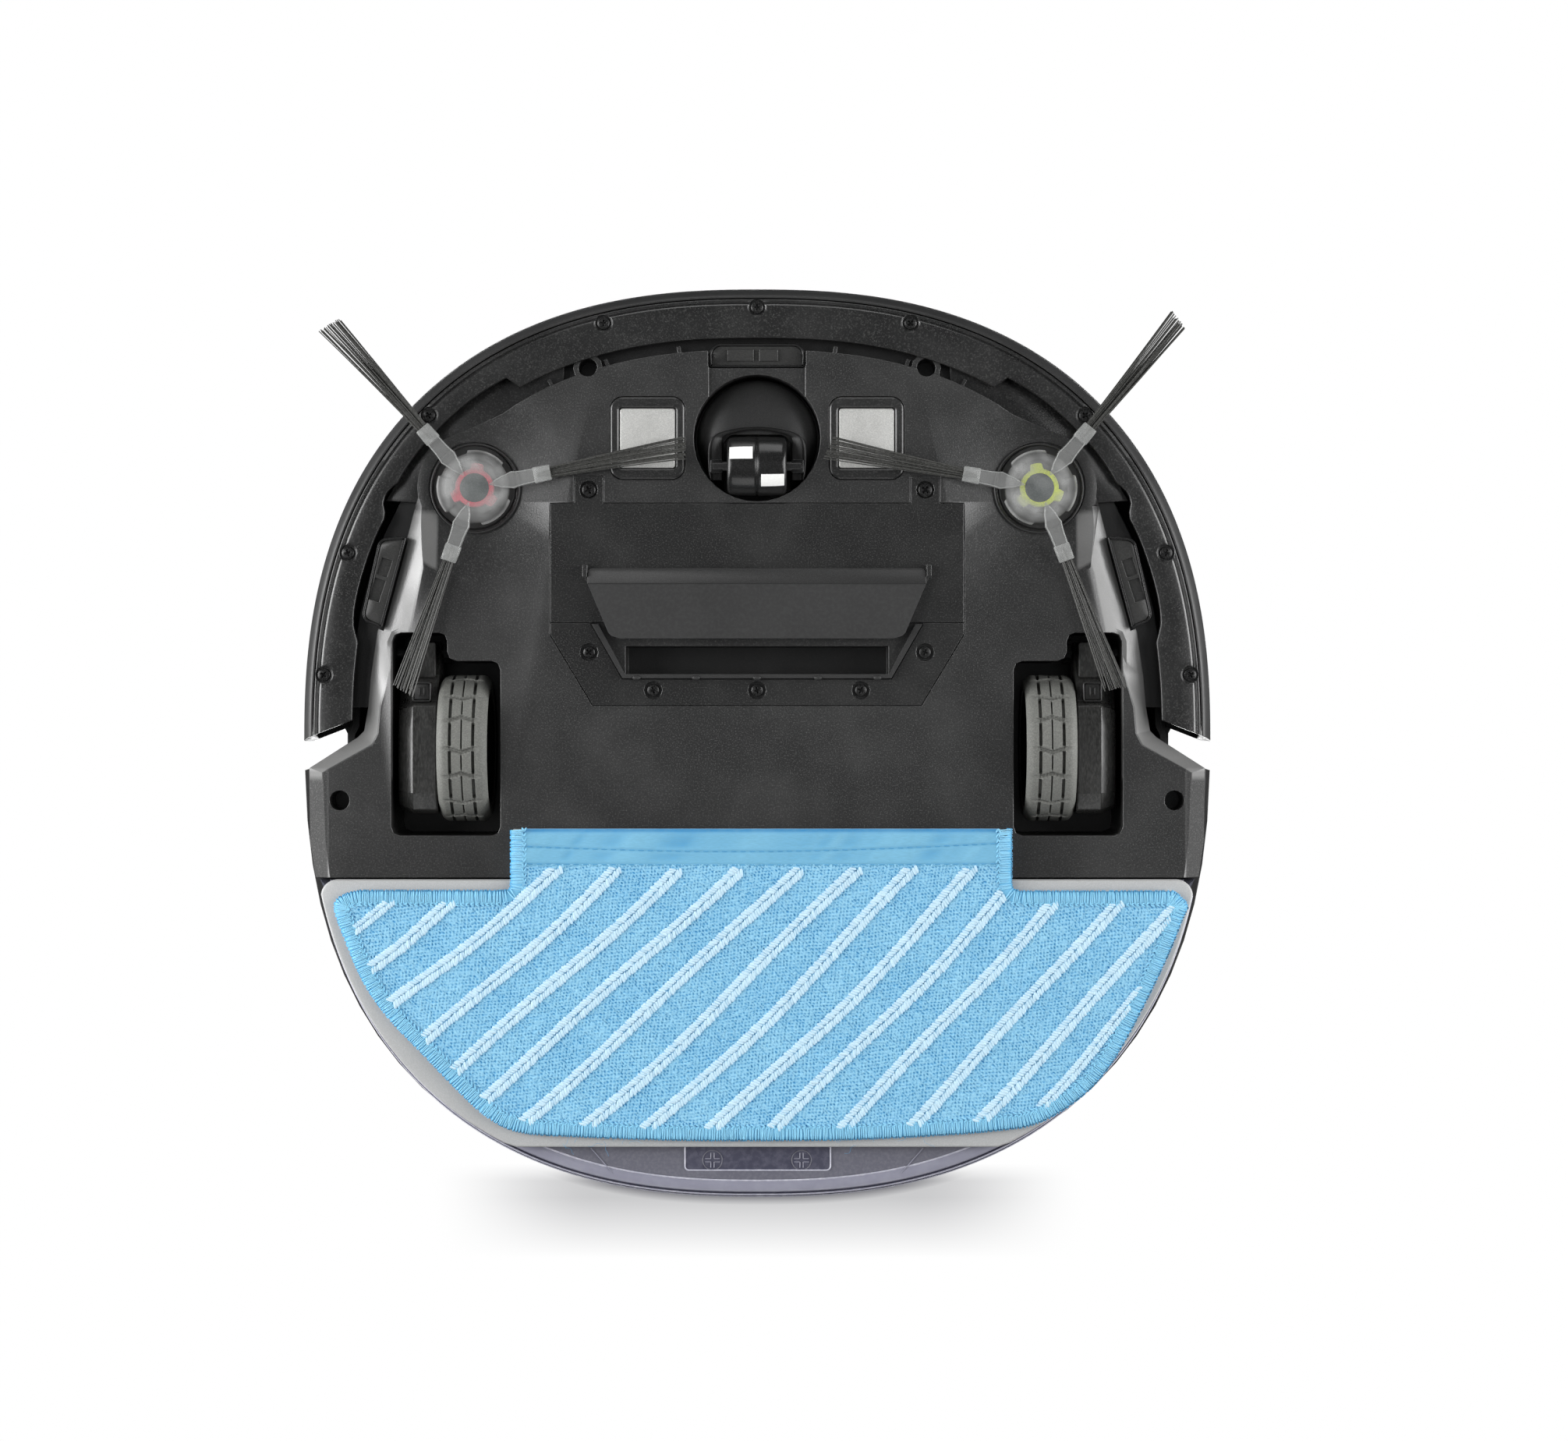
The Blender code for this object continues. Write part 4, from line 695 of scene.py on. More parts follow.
def stage():
    floor, tree, mix, _ = one_sided("floor_pale")
    surface = tree.nodes.new("ShaderNodeBsdfDiffuse")
    surface.inputs["Color"].default_value = (0.9, 0.9, 0.9, 1)
    link(tree, surface.outputs["BSDF"], mix.inputs[2])
    stage_sheet("floor", rectangle(-FLOOR_REACH, -FLOOR_REACH, FLOOR_REACH, FLOOR_REACH), 0, floor)

    shade, tree, mix, strength = one_sided("soft_shadow")
    glow = tree.nodes.new("ShaderNodeEmission")
    glow.inputs["Color"].default_value = (0.08, 0.08, 0.10, 1)
    link(tree, glow.outputs["Emission"], mix.inputs[2])
    coordinates = tree.nodes.new("ShaderNodeTexCoord")
    split = tree.nodes.new("ShaderNodeSeparateXYZ")
    link(tree, coordinates.outputs["Object"], split.inputs["Vector"])
    aside = maths(tree, "ABSOLUTE", split.outputs["X"])
    powers = [maths(tree, "POWER", value, OUTLINE_POWER) for value in (aside, split.outputs["Y"])]
    reach = maths(tree, "POWER", maths(tree, "ADD", *powers), 1 / OUTLINE_POWER)
    contact = maths(tree, "MULTIPLY", spread(tree, reach, 0.1585, 0.1625, 0.55, 0.0),
                    spread(tree, split.outputs["Y"], 0.1500, 0.1560))
    soft = maths(tree, "MULTIPLY", spread(tree, split.outputs["Y"], 0.1600, 0.1810, 0.44, 0.0),
                 spread(tree, split.outputs["Y"], 0.1480, 0.1540))
    narrow = tree.nodes.new("ShaderNodeMapRange")
    narrow.interpolation_type = "SMOOTHSTEP"
    for socket, value in (("From Min", 0.055), ("From Max", 0.116), ("To Min", 1.0), ("To Max", 0.0)):
        narrow.inputs[socket].default_value = value
    link(tree, aside, narrow.inputs["Value"])
    both = maths(tree, "MULTIPLY", maths(tree, "ADD", contact, soft), narrow.outputs["Result"])
    link(tree, both, strength.inputs[1])
    # Its corners run the other way round than the floor's, so that its front faces down.
    corners = rectangle(-SHADOW_HALF_WIDTH, SHADOW_Y[0], SHADOW_HALF_WIDTH, SHADOW_Y[1])
    stage_sheet("soft_shadow", corners[:1] + corners[:0:-1], SHADOW_Z, shade)


# Small shared pieces

def screw_mesh(name, radius):
    """A pan head pointing down with a cross recess, its face at the origin."""
    head = lathe(name, [
        (0, 1.4 * MM), (radius, 1.4 * MM), (radius, 0.55 * MM), (radius * 0.93, 0.25 * MM),
        (radius * 0.72, 0.06 * MM), (0, 0),
    ], (0, 0, 0), steps=40)
    obj = bpy.data.objects.new(name, head)
    bpy.context.scene.collection.objects.link(obj)
    wing, tip = radius * 0.62, radius * 0.16
    cutters = []
    for turn in (math.radians(20), math.radians(110)):
        slot = loft("slot", [
            (rectangle(-wing, -tip, wing, tip), -0.3 * MM),
            (rectangle(-wing * 0.55, -tip * 0.7, wing * 0.55, tip * 0.7), 0.95 * MM),
        ])
        slot.transform(Matrix.Rotation(turn, 4, "Z"))
        cutters.append(slot)
    cut_from(obj, cutters)
    mesh = obj.data
    bpy.data.objects.remove(obj)
    return mesh


def set_screw(name, master, x, y, z, turn, body, replaces=()):
    mesh = master.copy()
    mesh.transform(Matrix.Translation((x, y, z)) @ Matrix.Rotation(turn, 4, "Z"))
    piece(name, mesh, screw_black, body, replaces)


def screws():
    rng = random.Random(3)
    large, middling = screw_mesh("screw_head", 2.6 * MM), screw_mesh("inlet_screw_head", 2.1 * MM)
    for name in sorted(nodes):
        if name.startswith(("battery_screw", "inlet_screw")):
            master = large if name.startswith("battery") else middling
            place = middle_of(name)
            low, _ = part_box(name)
            turn = rng.uniform(0, 1.5)
            set_screw(name + "_head", master, place.x, place.y, low.z, turn, "main_body", [name])
    small = screw_mesh("bumper_screw_head", 2.2 * MM)
    for number, (x, y) in enumerate(bumper_screw_places(), 1):
        set_screw(f"bumper_screw_{number}", small, x, y, 9.3 * MM, rng.uniform(0, 1.5), "bumper")


def bumper_screw_places():
    half = [(51.8, -141.5), (110.7, -110.4), (138.0, -64.0), (146.1, -22.9)]
    places = [(0.0, -146.8)] + half + [(-x, y) for x, y in half]
    return [(x * MM, y * MM) for x, y in places]


# Bumper

def bumper_end_y(radius):
    """The bumper's ends are cut on a slant, further forward on the inside."""
    return -0.0004 - (BODY_RADIUS - radius) * 7 / 18


def bumper_arc(radius):
    return front_arc(radius, bumper_end_y(radius), 181)


def bumper():
    low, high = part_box("bumper_shell")[0].z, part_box("bumper_shell")[1].z
    outer, inner, shelf = BODY_RADIUS, BODY_RADIUS - 0.0020, 0.1425
    foot = 149.95 * MM
    profile = [
        (foot, low + 0.1 * MM), (foot + 0.45 * MM, low), (foot + 0.9 * MM, low + 0.35 * MM),
        (foot + 1.7 * MM, low + 1.7 * MM), (foot + 2.9 * MM, low + 4.7 * MM),
        (foot + 4.0 * MM, low + 9.7 * MM), (foot + 4.8 * MM, low + 16.0 * MM), (outer, 0.0300),
        (outer - 0.25 * MM, 0.0302), (outer - 0.25 * MM, 0.0307), (outer, 0.0309), (outer, high - 3.0 * MM),
        (outer - 0.4 * MM, high - 1.4 * MM), (outer - 1.3 * MM, high - 0.4 * MM), (outer - 2.8 * MM, high),
        (shelf, high), (shelf, high - 1.6 * MM), (inner, high - 1.6 * MM), (inner, 0.0300),
        (foot + 2.0 * MM, low + 9.0 * MM), (foot, low + 4.0 * MM),
    ]
    shell = swept("bumper_skin", [bumper_arc(radius) for radius, _ in profile],
                  [level for _, level in profile])
    piece("bumper_skin", shell, shell_black, "bumper", ["bumper_shell"])
    bumper_floor()
    brush_guards()


def bumper_floor():
    """The bumper's flat ring, its inner edge stepped round the brushes, with a well for each screw."""
    # The top stays just under the chassis' deep bosses, which the ring slides past.
    low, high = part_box("bumper_ring")[0].z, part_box("bumper_ring")[1].z - 0.2 * MM
    inner_radius, outer_radius = 0.1365, 0.1496
    inner = []
    for x, y in bumper_arc(inner_radius):
        grow = 1.0
        for peak_y, reach, depth in ((-0.1014, 0.0260, 0.0054), (-0.0595, 0.0240, 0.0033)):
            if abs(x) > 0.080:
                grow += depth / inner_radius * max(0.0, 1 - ((y - peak_y) / reach) ** 4) ** 0.5
        inner.append((x * grow, y * grow))
    arcs, levels = [], []
    for radius, level in (
        (outer_radius, high), (outer_radius, low + 0.5 * MM), (outer_radius - 0.3 * MM, low + 0.2 * MM),
        (outer_radius - 1.1 * MM, low + 0.15 * MM), (outer_radius - 1.2 * MM, low + 0.6 * MM),
        (outer_radius - 1.4 * MM, low + 0.7 * MM), (outer_radius - 2.1 * MM, low + 0.06 * MM),
        (outer_radius - 2.4 * MM, low),
    ):
        arcs.append(bumper_arc(radius))
        levels.append(level)
    for shift, level in ((0.5 * MM, low), (0.15 * MM, low + 0.15 * MM), (0.0, low + 0.5 * MM), (0.0, high)):
        arcs.append([(x * (1 + shift / 0.14), y * (1 + shift / 0.14)) for x, y in inner])
        levels.append(level)
    mesh = swept("bumper_floor", arcs, levels)
    ring = piece("bumper_floor", mesh, ring_charcoal, "bumper", ["bumper_ring"])
    wells = []
    for x, y in bumper_screw_places():
        wells.append(lathe("well", [
            (0, high - 0.5 * MM), (2.75 * MM, high - 0.5 * MM), (2.75 * MM, low + 0.35 * MM),
            (3.15 * MM, low + 0.05 * MM), (3.4 * MM, low - 1 * MM), (0, low - 1 * MM),
        ], (x, y, 0), steps=36))
    cut_from(ring, wells)


def brush_guards():
    """The dark web that closes the gap between the chassis and the bumper round each side brush."""
    for side, sign in SIDES:
        edges = []
        for radius in (0.1285, 0.1422):
            edges.append([(x, y) for x, y in bumper_arc(radius) if sign * x > 0.064 and y < -0.080])
        outline = edges[0] + edges[1][::-1]
        web = soft_plate("guard", outline, 13.6 * MM, 15.0 * MM, 0.2 * MM)
        piece(f"brush_guard_{side}", web, ring_charcoal, "main_body")


# Drive wheels

TREAD_ROWS = 16
TREAD_HALF = 3.9 * MM


def groove(distance, half_width, blur):
    """1 inside a groove, 0 outside it, with a short slope between."""
    return np.clip((half_width + blur - np.abs(distance)) / blur, 0, 1)


def tread_depth(around, across, radius):
    """How far the tread sinks below the tyre's crown at each point, in metres."""
    pitch = 2 * math.pi / TREAD_ROWS
    row = np.floor(around / pitch + 0.5)
    point_up = np.where(row % 2 == 0, 1.0, -1.0)
    slant = 1.3 * MM * (1 - np.minimum(np.abs(across), TREAD_HALF) / TREAD_HALF) * point_up
    off = (around - row * pitch) * radius
    chevron = groove(off - slant, 0.42 * MM, 0.25 * MM) * (np.abs(across) < TREAD_HALF + 0.3 * MM)
    taper = np.clip(1 - (np.abs(across) - TREAD_HALF) / (3.2 * MM), 0, 1)
    notch = groove(off, 0.10 * MM + 0.45 * MM * taper, 0.35 * MM)
    shoulder = notch * (np.abs(across) >= TREAD_HALF) * (taper > 0)
    between = np.clip((np.abs(off - slant) - 1.0 * MM) / (0.3 * MM), 0, 1)
    lengthwise = groove(np.abs(across) - TREAD_HALF, 0.36 * MM, 0.14 * MM) * np.clip(
        (np.abs(off) - 0.8 * MM) / (0.3 * MM), 0, 1)
    slit = groove(across, 0.16 * MM, 0.14 * MM) * between
    depth = np.maximum(1.1 * MM * chevron, 0.8 * MM * shoulder * taper)
    return np.maximum(depth, np.maximum(1.9 * MM * lengthwise, 1.7 * MM * slit))


def tyre(side):
    name = f"tyre_{side}"
    centre = middle_of(name)
    low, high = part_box(name)
    radius, half = (high.z - low.z) / 2, (high.x - low.x) / 2
    inner = 20.1 * MM
    across_steps, around_steps = 90, 400
    spans = np.linspace(-half, half, across_steps)
    fall = np.clip((np.abs(spans) - 0.60 * half) / (0.40 * half), 0, 1)
    crown = radius - 0.10 * MM - 2.3 * MM * fall ** 2.6
    around = np.linspace(0, 2 * math.pi, around_steps, endpoint=False)
    grid_a, grid_s = np.meshgrid(around, spans, indexing="ij")
    reach = crown[None, :] - tread_depth(grid_a, grid_s, radius)
    profile_x = np.concatenate([[-half + 0.3 * MM], spans, [half - 0.3 * MM]])
    hidden = np.full((around_steps, 1), inner)
    reach = np.concatenate([hidden, reach, hidden], axis=1)
    points = np.empty((around_steps, len(profile_x), 3))
    points[:, :, 0] = centre.x + profile_x[None, :]
    points[:, :, 1] = centre.y + reach * np.sin(around)[:, None]
    points[:, :, 2] = centre.z - reach * np.cos(around)[:, None]
    count = len(profile_x)
    faces = []
    for i in range(around_steps):
        after = (i + 1) % around_steps
        for k in range(count):
            nearby = (k + 1) % count
            faces.append((i * count + k, i * count + nearby, after * count + nearby, after * count + k))
    mesh = bpy.data.meshes.new(name + "_tread")
    mesh.from_pydata(points.reshape(-1, 3).tolist(), [], faces)
    outward_normals(mesh)
    piece(name + "_tread", mesh, rubber, f"wheel_{side}", [name], angle=50)


def outward_normals(mesh):
    bm = bmesh.new()
    bm.from_mesh(mesh)
    bmesh.ops.recalc_face_normals(bm, faces=bm.faces)
    bm.to_mesh(mesh)
    bm.free()


def rim(side, sign):
    """The wheel's dark disc: a rolled flange, five spokes and a cap over the axle."""
    centre = middle_of(f"tyre_{side}")
    body = f"wheel_{side}"
    disc = lathe(f"wheel_disc_{side}", [
        (0, 12.6 * MM), (3.9 * MM, 12.6 * MM), (3.9 * MM, 7.0 * MM), (19.4 * MM, 7.0 * MM),
        (19.9 * MM, 6.6 * MM), (19.9 * MM, -7.2 * MM), (19.5 * MM, -7.8 * MM), (18.8 * MM, -7.8 * MM),
        (18.2 * MM, -7.0 * MM), (17.4 * MM, -3.0 * MM), (7.0 * MM, -3.0 * MM), (6.4 * MM, -3.6 * MM),
        (6.0 * MM, -6.4 * MM), (5.2 * MM, -7.0 * MM), (2.6 * MM, -7.0 * MM), (2.2 * MM, -6.2 * MM),
        (0, -6.2 * MM),
    ], centre, "X", 72, sign)
    piece(f"wheel_disc_{side}", disc, plastic, body, [f"wheel_rim_{side}"])
    spokes = Batch()
    for number in range(5):
        turn = 2 * math.pi * number / 5
        y, z = math.cos(turn), math.sin(turn)
        x = centre.x - sign * 3.6 * MM
        start = Vector((x, centre.y + 6.2 * MM * y, centre.z + 6.2 * MM * z))
        end = Vector((x + sign * 0.3 * MM, centre.y + 17.8 * MM * y, centre.z + 17.8 * MM * z))
        spokes.add(tube([start, start.lerp(end, 0.5), end], [1.7 * MM, 1.2 * MM, 1.7 * MM], 8))
    piece(f"wheel_spokes_{side}", spokes.mesh("spokes"), plastic, body)


def gearbox(side, sign):
    """The drive arm beside the wheel: a chamfered, scuffed housing with a clip plate on its nose."""
    name = f"wheel_gearbox_{side}"
    low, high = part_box(name)
    body = f"suspension_{side}"
    near, far = (low.x, high.x) if sign > 0 else (high.x, low.x)
    profile = [
        (-34.6, 27.6), (-33.6, 34.5), (-22.0, 39.6), (6.0, 44.6), (19.8, 39.6), (24.0, 31.8), (24.0, 15.4),
        (22.6, 12.2), (17.0, 9.6), (8.0, 9.1), (-6.0, 9.3), (-12.4, 10.6), (-14.0, 13.6), (-19.0, 15.4),
        (-29.8, 23.6),
    ]
    outline = [(y * MM, z * MM) for y, z in profile]
    outline = rounded(outline, 1.0 * MM, 3)
    centre_z = 26 * MM

    def section(x, shrink, lift):
        moved = inset(outline, shrink)
        return [(x, y, z + lift * (1 if z < centre_z else 0)) for y, z in moved]

    sections = [
        section(near, 0.5 * MM, 0), section(near + sign * 0.5 * MM, 0, 0),
        section(near + sign * 8.2 * MM, 0, 0), section(near + sign * 8.8 * MM, 0.25 * MM, 0.1 * MM),
        section(far - sign * 0.6 * MM, 1.6 * MM, 2.6 * MM), section(far, 2.0 * MM, 3.4 * MM),
    ]
    piece(f"drive_arm_{side}", skin(f"drive_arm_{side}", sections), worn_plastic, body, [name],
          25)
    middle = (near + far) / 2 - sign * 1.3 * MM
    nose = rounded(rectangle(middle - 4.4 * MM, -34.0 * MM, middle + 4.4 * MM, -22.0 * MM), 0.8 * MM, 3)
    piece(f"drive_nose_{side}", soft_plate("nose", nose, 16.2 * MM, 24 * MM, 0.4 * MM), worn_plastic, body)
    square = rounded(rectangle(middle - 3.3 * MM, -20.6 * MM, middle + 3.3 * MM, -13.8 * MM), 0.9 * MM, 4)
    ring = frame_plate("clip", square, inset(square, 0.6 * MM), 11.6 * MM, 15.8 * MM)
    piece(f"clip_frame_{side}", ring, plastic, body)
    filling = soft_plate("clip_plate", inset(square, 0.75 * MM), 12.2 * MM, 15.6 * MM, 0.2 * MM)
    piece(f"clip_plate_{side}", filling, plastic, body)
    small = rounded(rectangle(middle - 1.0 * MM, -18.9 * MM, middle + 1.0 * MM, -15.8 * MM), 0.3 * MM, 3)
    ring = frame_plate("clip_window", small, inset(small, 0.5 * MM), 11.8 * MM, 12.6 * MM, 0.12 * MM)
    piece(f"clip_window_{side}", ring, plastic, body)


# Side brushes

ARM_ANGLES = {"left": (-50, 70, 190), "right": (-11, 109, 229)}
CORE_TURN = {"left": 72, "right": 48}
ARM_SIDES = 20
ARM_SQUARENESS = 0.30
# The distance from the hub's centre and the level of each point along a bristle, in millimetres
BRUSH_LEVELS = ((26.3, 5.55), (36.0, 4.5), (50.0, 3.2), (62.0, 2.0), (72.6, 1.2))


def polar(centre, degrees, distance, level, aside=0.0):
    turn = math.radians(degrees)
    along, across = Vector((math.cos(turn), math.sin(turn))), Vector((-math.sin(turn), math.cos(turn)))
    flat = Vector((centre.x, centre.y)) + along * distance + across * aside
    return Vector((flat.x, flat.y, level))


def brush_hub(side):
    centre = middle_of(f"brush_core_{side}")
    body = f"brush_{side}"
    clear = frosting(f"frosting_{side}", centre)

    def disc_outline(grow):
        points = []
        for step in range(180):
            degrees = 2 * step
            near = min(abs((degrees - arm + 180) % 360 - 180) for arm in ARM_ANGLES[side])
            radius = 12.75 - 0.95 * max(0.0, min(1.0, (31 - near) / 2.5)) + grow
            turn = math.radians(degrees)
            points.append((centre.x + radius * MM * math.cos(turn), centre.y + radius * MM * math.sin(turn)))
        return points

    disc = loft(f"hub_{side}", [
        (disc_outline(-3.6), 8.4 * MM), (disc_outline(-3.2), 9.6 * MM), (disc_outline(-0.5), 10.9 * MM),
        (disc_outline(0.0), 10.4 * MM), (disc_outline(0.0), 8.2 * MM), (disc_outline(-0.25), 7.7 * MM),
        (disc_outline(-1.3), 7.15 * MM), (disc_outline(-5.0), 6.85 * MM), (disc_outline(-11.0), 6.75 * MM),
    ])
    piece(f"brush_disc_{side}", disc, clear, body, [f"brush_hub_{side}"])
    arm_stations = (
        (5.2, 6.60, 0.3, 0.3), (7.0, 6.70, 2.0, 0.8), (9.2, 6.85, 3.9, 1.4), (11.4, 7.0, 4.9, 2.0),
        (13.2, 7.0, 6.0, 2.5), (14.6, 6.9, 5.5, 2.8), (16.8, 6.8, 5.1, 3.0), (20.9, 6.25, 4.9, 3.1),
    )
    sleeve_stations = (
        (20.6, 6.25, 5.2, 3.3), (20.9, 6.2, 5.5, 3.5), (25.9, 5.6, 5.2, 3.3), (26.3, 5.6, 5.0, 3.1),
    )
    for number, degrees in enumerate(ARM_ANGLES[side], 1):
        arm = arm_mesh(centre, degrees, arm_stations)
        piece(f"brush_arm_{side}_{number}", arm, frosted, body, (), 30)
        rails = Batch()
        for aside in (-1, 1):
            rails.add(tube([
                polar(centre, degrees, distance * MM, (level - thick / 2 - 0.02) * MM,
                      aside * (width / 2 - 0.35) * MM)
                for distance, level, width, thick in arm_stations[1:]
            ], 0.17 * MM, 6))
        piece(f"brush_rails_{side}_{number}", rails.mesh("rails"), sleeve_clear, body)
        sleeve = arm_mesh(centre, degrees, sleeve_stations)
        piece(f"brush_sleeve_{side}_{number}", sleeve, sleeve_clear, body, (), 30)
        root_bundle(side, number, degrees, centre, body)
        tuft(side, number, degrees, centre, body)


def arm_mesh(centre, degrees, stations):
    """A rounded bar through stations of (distance, level, width, thickness), in millimetres."""
    rings = []
    for distance, level, width, thick in stations:
        ring = []
        for k in range(ARM_SIDES):
            turn = 2 * math.pi * k / ARM_SIDES
            a, b = math.cos(turn), math.sin(turn)
            aside = math.copysign(abs(a) ** ARM_SQUARENESS, a) * width / 2
            rise = math.copysign(abs(b) ** ARM_SQUARENESS, b) * thick / 2
            ring.append(polar(centre, degrees, distance * MM, (level + rise) * MM, aside * MM))
        rings.append(ring)
    return skin("arm", rings)


def root_bundle(side, number, degrees, centre, body):
    """The folded end of the tuft, seen inside its clear sleeve."""
    fold = Batch()
    fold.add(tube([
        polar(centre, degrees, 21.6 * MM, 6.1 * MM), polar(centre, degrees, 26.5 * MM, 5.6 * MM),
    ], [0.7 * MM, 1.0 * MM], 8))
    piece(f"brush_fold_{side}_{number}", fold.mesh("fold"), bristle, body)


def tuft(side, number, degrees, centre, body):
    rng = random.Random(100 * number + (7 if side == "left" else 5))
    strands = Batch()
    bend = rng.uniform(-1.2, 1.2)
    for strand in range(32):
        start = -1 + 2 * (strand + rng.uniform(0.1, 0.9)) / 32
        layer = rng.uniform(-1, 1)
        fan = start * 0.92 + rng.uniform(-0.12, 0.12)
        reach = 1.0 - abs(rng.gauss(0, 0.014)) - 0.02 * fan
        points = []
        for distance, level in BRUSH_LEVELS:
            along = 26.0 + (distance - 26.0) * reach
            share = (along - 26.0) / 46.6
            half = 1.75 + 2.45 * share ** 1.1
            aside = (start * (1 - share) + fan * share) * half + bend * share * share
            rise = layer * (0.85 - 0.45 * share)
            points.append(polar(centre, degrees, along * MM, (level + rise) * MM, aside * MM))
        strands.add(tube(points, 0.18 * MM, 5))
    name = f"bristles_{side}_{number}"
    piece(name, strands.mesh(name), bristle, body, [f"brush_tuft_{side}_{number}"])


def brush_core(side):
    centre = middle_of(f"brush_core_{side}")
    body = f"brush_{side}"
    colour, slot = (core_lime, "core_lime") if side == "left" else (core_red, "core_red")
    outline = []
    lobes = [arm + CORE_TURN[side] for arm in ARM_ANGLES[side]]
    for step in range(120):
        degrees = 3 * step
        near = min(abs((degrees - lobe + 180) % 360 - 180) for lobe in lobes)
        radius = 6.5 + 1.8 * max(0.0, min(1.0, (19 - near) / 6))
        turn = math.radians(degrees)
        outline.append((centre.x + radius * MM * math.cos(turn), centre.y + radius * MM * math.sin(turn)))
    piece(f"core_star_{side}", soft_plate("core", outline, 8.45 * MM, 12.0 * MM, 0.3 * MM), colour, body,
          [f"brush_core_{side}"])
    cap = lathe(f"core_cap_{side}", [
        (0, 8.6 * MM), (4.6 * MM, 8.6 * MM), (4.9 * MM, 8.4 * MM), (4.7 * MM, 8.28 * MM), (0, 8.28 * MM),
    ], (centre.x, centre.y, 0), steps=48)
    piece(f"core_cap_{side}", cap, core_grey, body)
    collar = lathe(f"brush_collar_{side}", [
        (15.2 * MM, 20 * MM), (15.2 * MM, 11.7 * MM), (15.0 * MM, 11.45 * MM), (14.7 * MM, 11.45 * MM),
        (14.5 * MM, 11.8 * MM), (14.4 * MM, 12.9 * MM), (13.5 * MM, 13.4 * MM), (4.0 * MM, 13.4 * MM),
        (3.4 * MM, 13.8 * MM), (3.4 * MM, 20 * MM),
    ], (centre.x, centre.y, 0), steps=96, closed=True)
    piece(f"brush_collar_{side}", collar, satin, "main_body")


# Caster

def caster():
    axle = middle_of("caster_wheel")
    body = "caster_turret"
    dome_radius = 20.4 * MM
    profile = [(0, 26 * MM), (dome_radius, 26 * MM), (dome_radius, 19.0 * MM)]
    for step in range(15):
        turn = math.pi / 2 * step / 14
        profile.append((dome_radius * math.cos(turn) ** 0.85, 19.0 * MM - 5.6 * MM * math.sin(turn)))
    profile[-1] = (0, profile[-1][1])
    dome = lathe("caster_dome", profile, (0, -102.7 * MM, 0), steps=96)
    dome = piece("caster_dome", dome, satin, body, ["caster_turret"])
    edges = rectangle(-11.2 * MM, axle.y - 11.0 * MM, 11.2 * MM, -80.0 * MM)
    pocket = rounded(edges, [3.5 * MM, 3.5 * MM, 1 * MM, 1 * MM], 6)
    cut_from(dome, [loft("pocket", [(pocket, 5 * MM), (pocket, 22 * MM)])])
    caster_arch(body)
    for side, sign in SIDES:
        x0, x1 = sorted((sign * 11.6 * MM, sign * 15.8 * MM))
        clip = rounded(rectangle(x0, axle.y - 2.4 * MM, x1, axle.y + 2.4 * MM), 0.5 * MM, 3)
        piece(f"axle_clip_{side}", soft_plate("clip", clip, 8.9 * MM, 12.0 * MM, 0.3 * MM), gloss, body)
    caster_roller(axle)


def caster_arch(body):
    """The yoke's raised frame over the wheel, with a thin bead along its outer edge."""
    outer = [(16.0, -88.6), (16.5, -92.0), (16.7, -98.0), (16.0, -101.6), (14.2, -103.9), (10.5, -105.4),
             (5.5, -106.3)]
    inner = [(11.9, -88.6), (11.9, -92.0), (11.9, -98.0), (11.9, -102.2), (11.2, -103.6), (7.5, -104.7),
             (4.0, -105.4)]
    outer = outer + [(0, -106.6)] + [(-x, y) for x, y in outer[::-1]]
    inner = inner + [(0, -105.7)] + [(-x, y) for x, y in inner[::-1]]
    outer, inner = smooth_path(outer, 6), smooth_path(inner, 6)
    section = (
        (0.0, 17.0), (0.0, 10.3), (0.05, 9.75), (0.12, 9.6), (0.20, 9.85), (0.28, 10.5), (0.80, 10.9),
        (1.0, 11.5), (1.0, 17.0),
    )
    bm = bmesh.new()
    rings = []
    for share, level in section:
        ring = []
        for (x0, y0), (x1, y1) in zip(outer, inner):
            x, y = x0 + (x1 - x0) * share, y0 + (y1 - y0) * share
            ring.append(bm.verts.new((x * MM, y * MM, level * MM)))
        rings.append(ring)
    for k, here in enumerate(rings):
        after = rings[(k + 1) % len(rings)]
        for i in range(len(outer) - 1):
            bm.faces.new((here[i], here[i + 1], after[i + 1], after[i]))
    bm.faces.new([ring[0] for ring in rings])
    bm.faces.new([ring[-1] for ring in rings])
    piece("caster_arch", mesh_from("caster_arch", bm), satin, body)


def smooth_path(points, steps):
    """A Catmull-Rom curve through the points of an open path."""
    padded = [points[0], *points, points[-1]]
    made = []
    for a, b, c, d in zip(padded, padded[1:], padded[2:], padded[3:]):
        a, b, c, d = Vector(a), Vector(b), Vector(c), Vector(d)
        for step in range(steps):
            t = step / steps
            made.append(tuple(0.5 * (2 * b + (c - a) * t + (2 * a - 5 * b + 4 * c - d) * t * t
                                     + (3 * b - a - 3 * c + d) * t ** 3)))
    return made + [points[-1]]


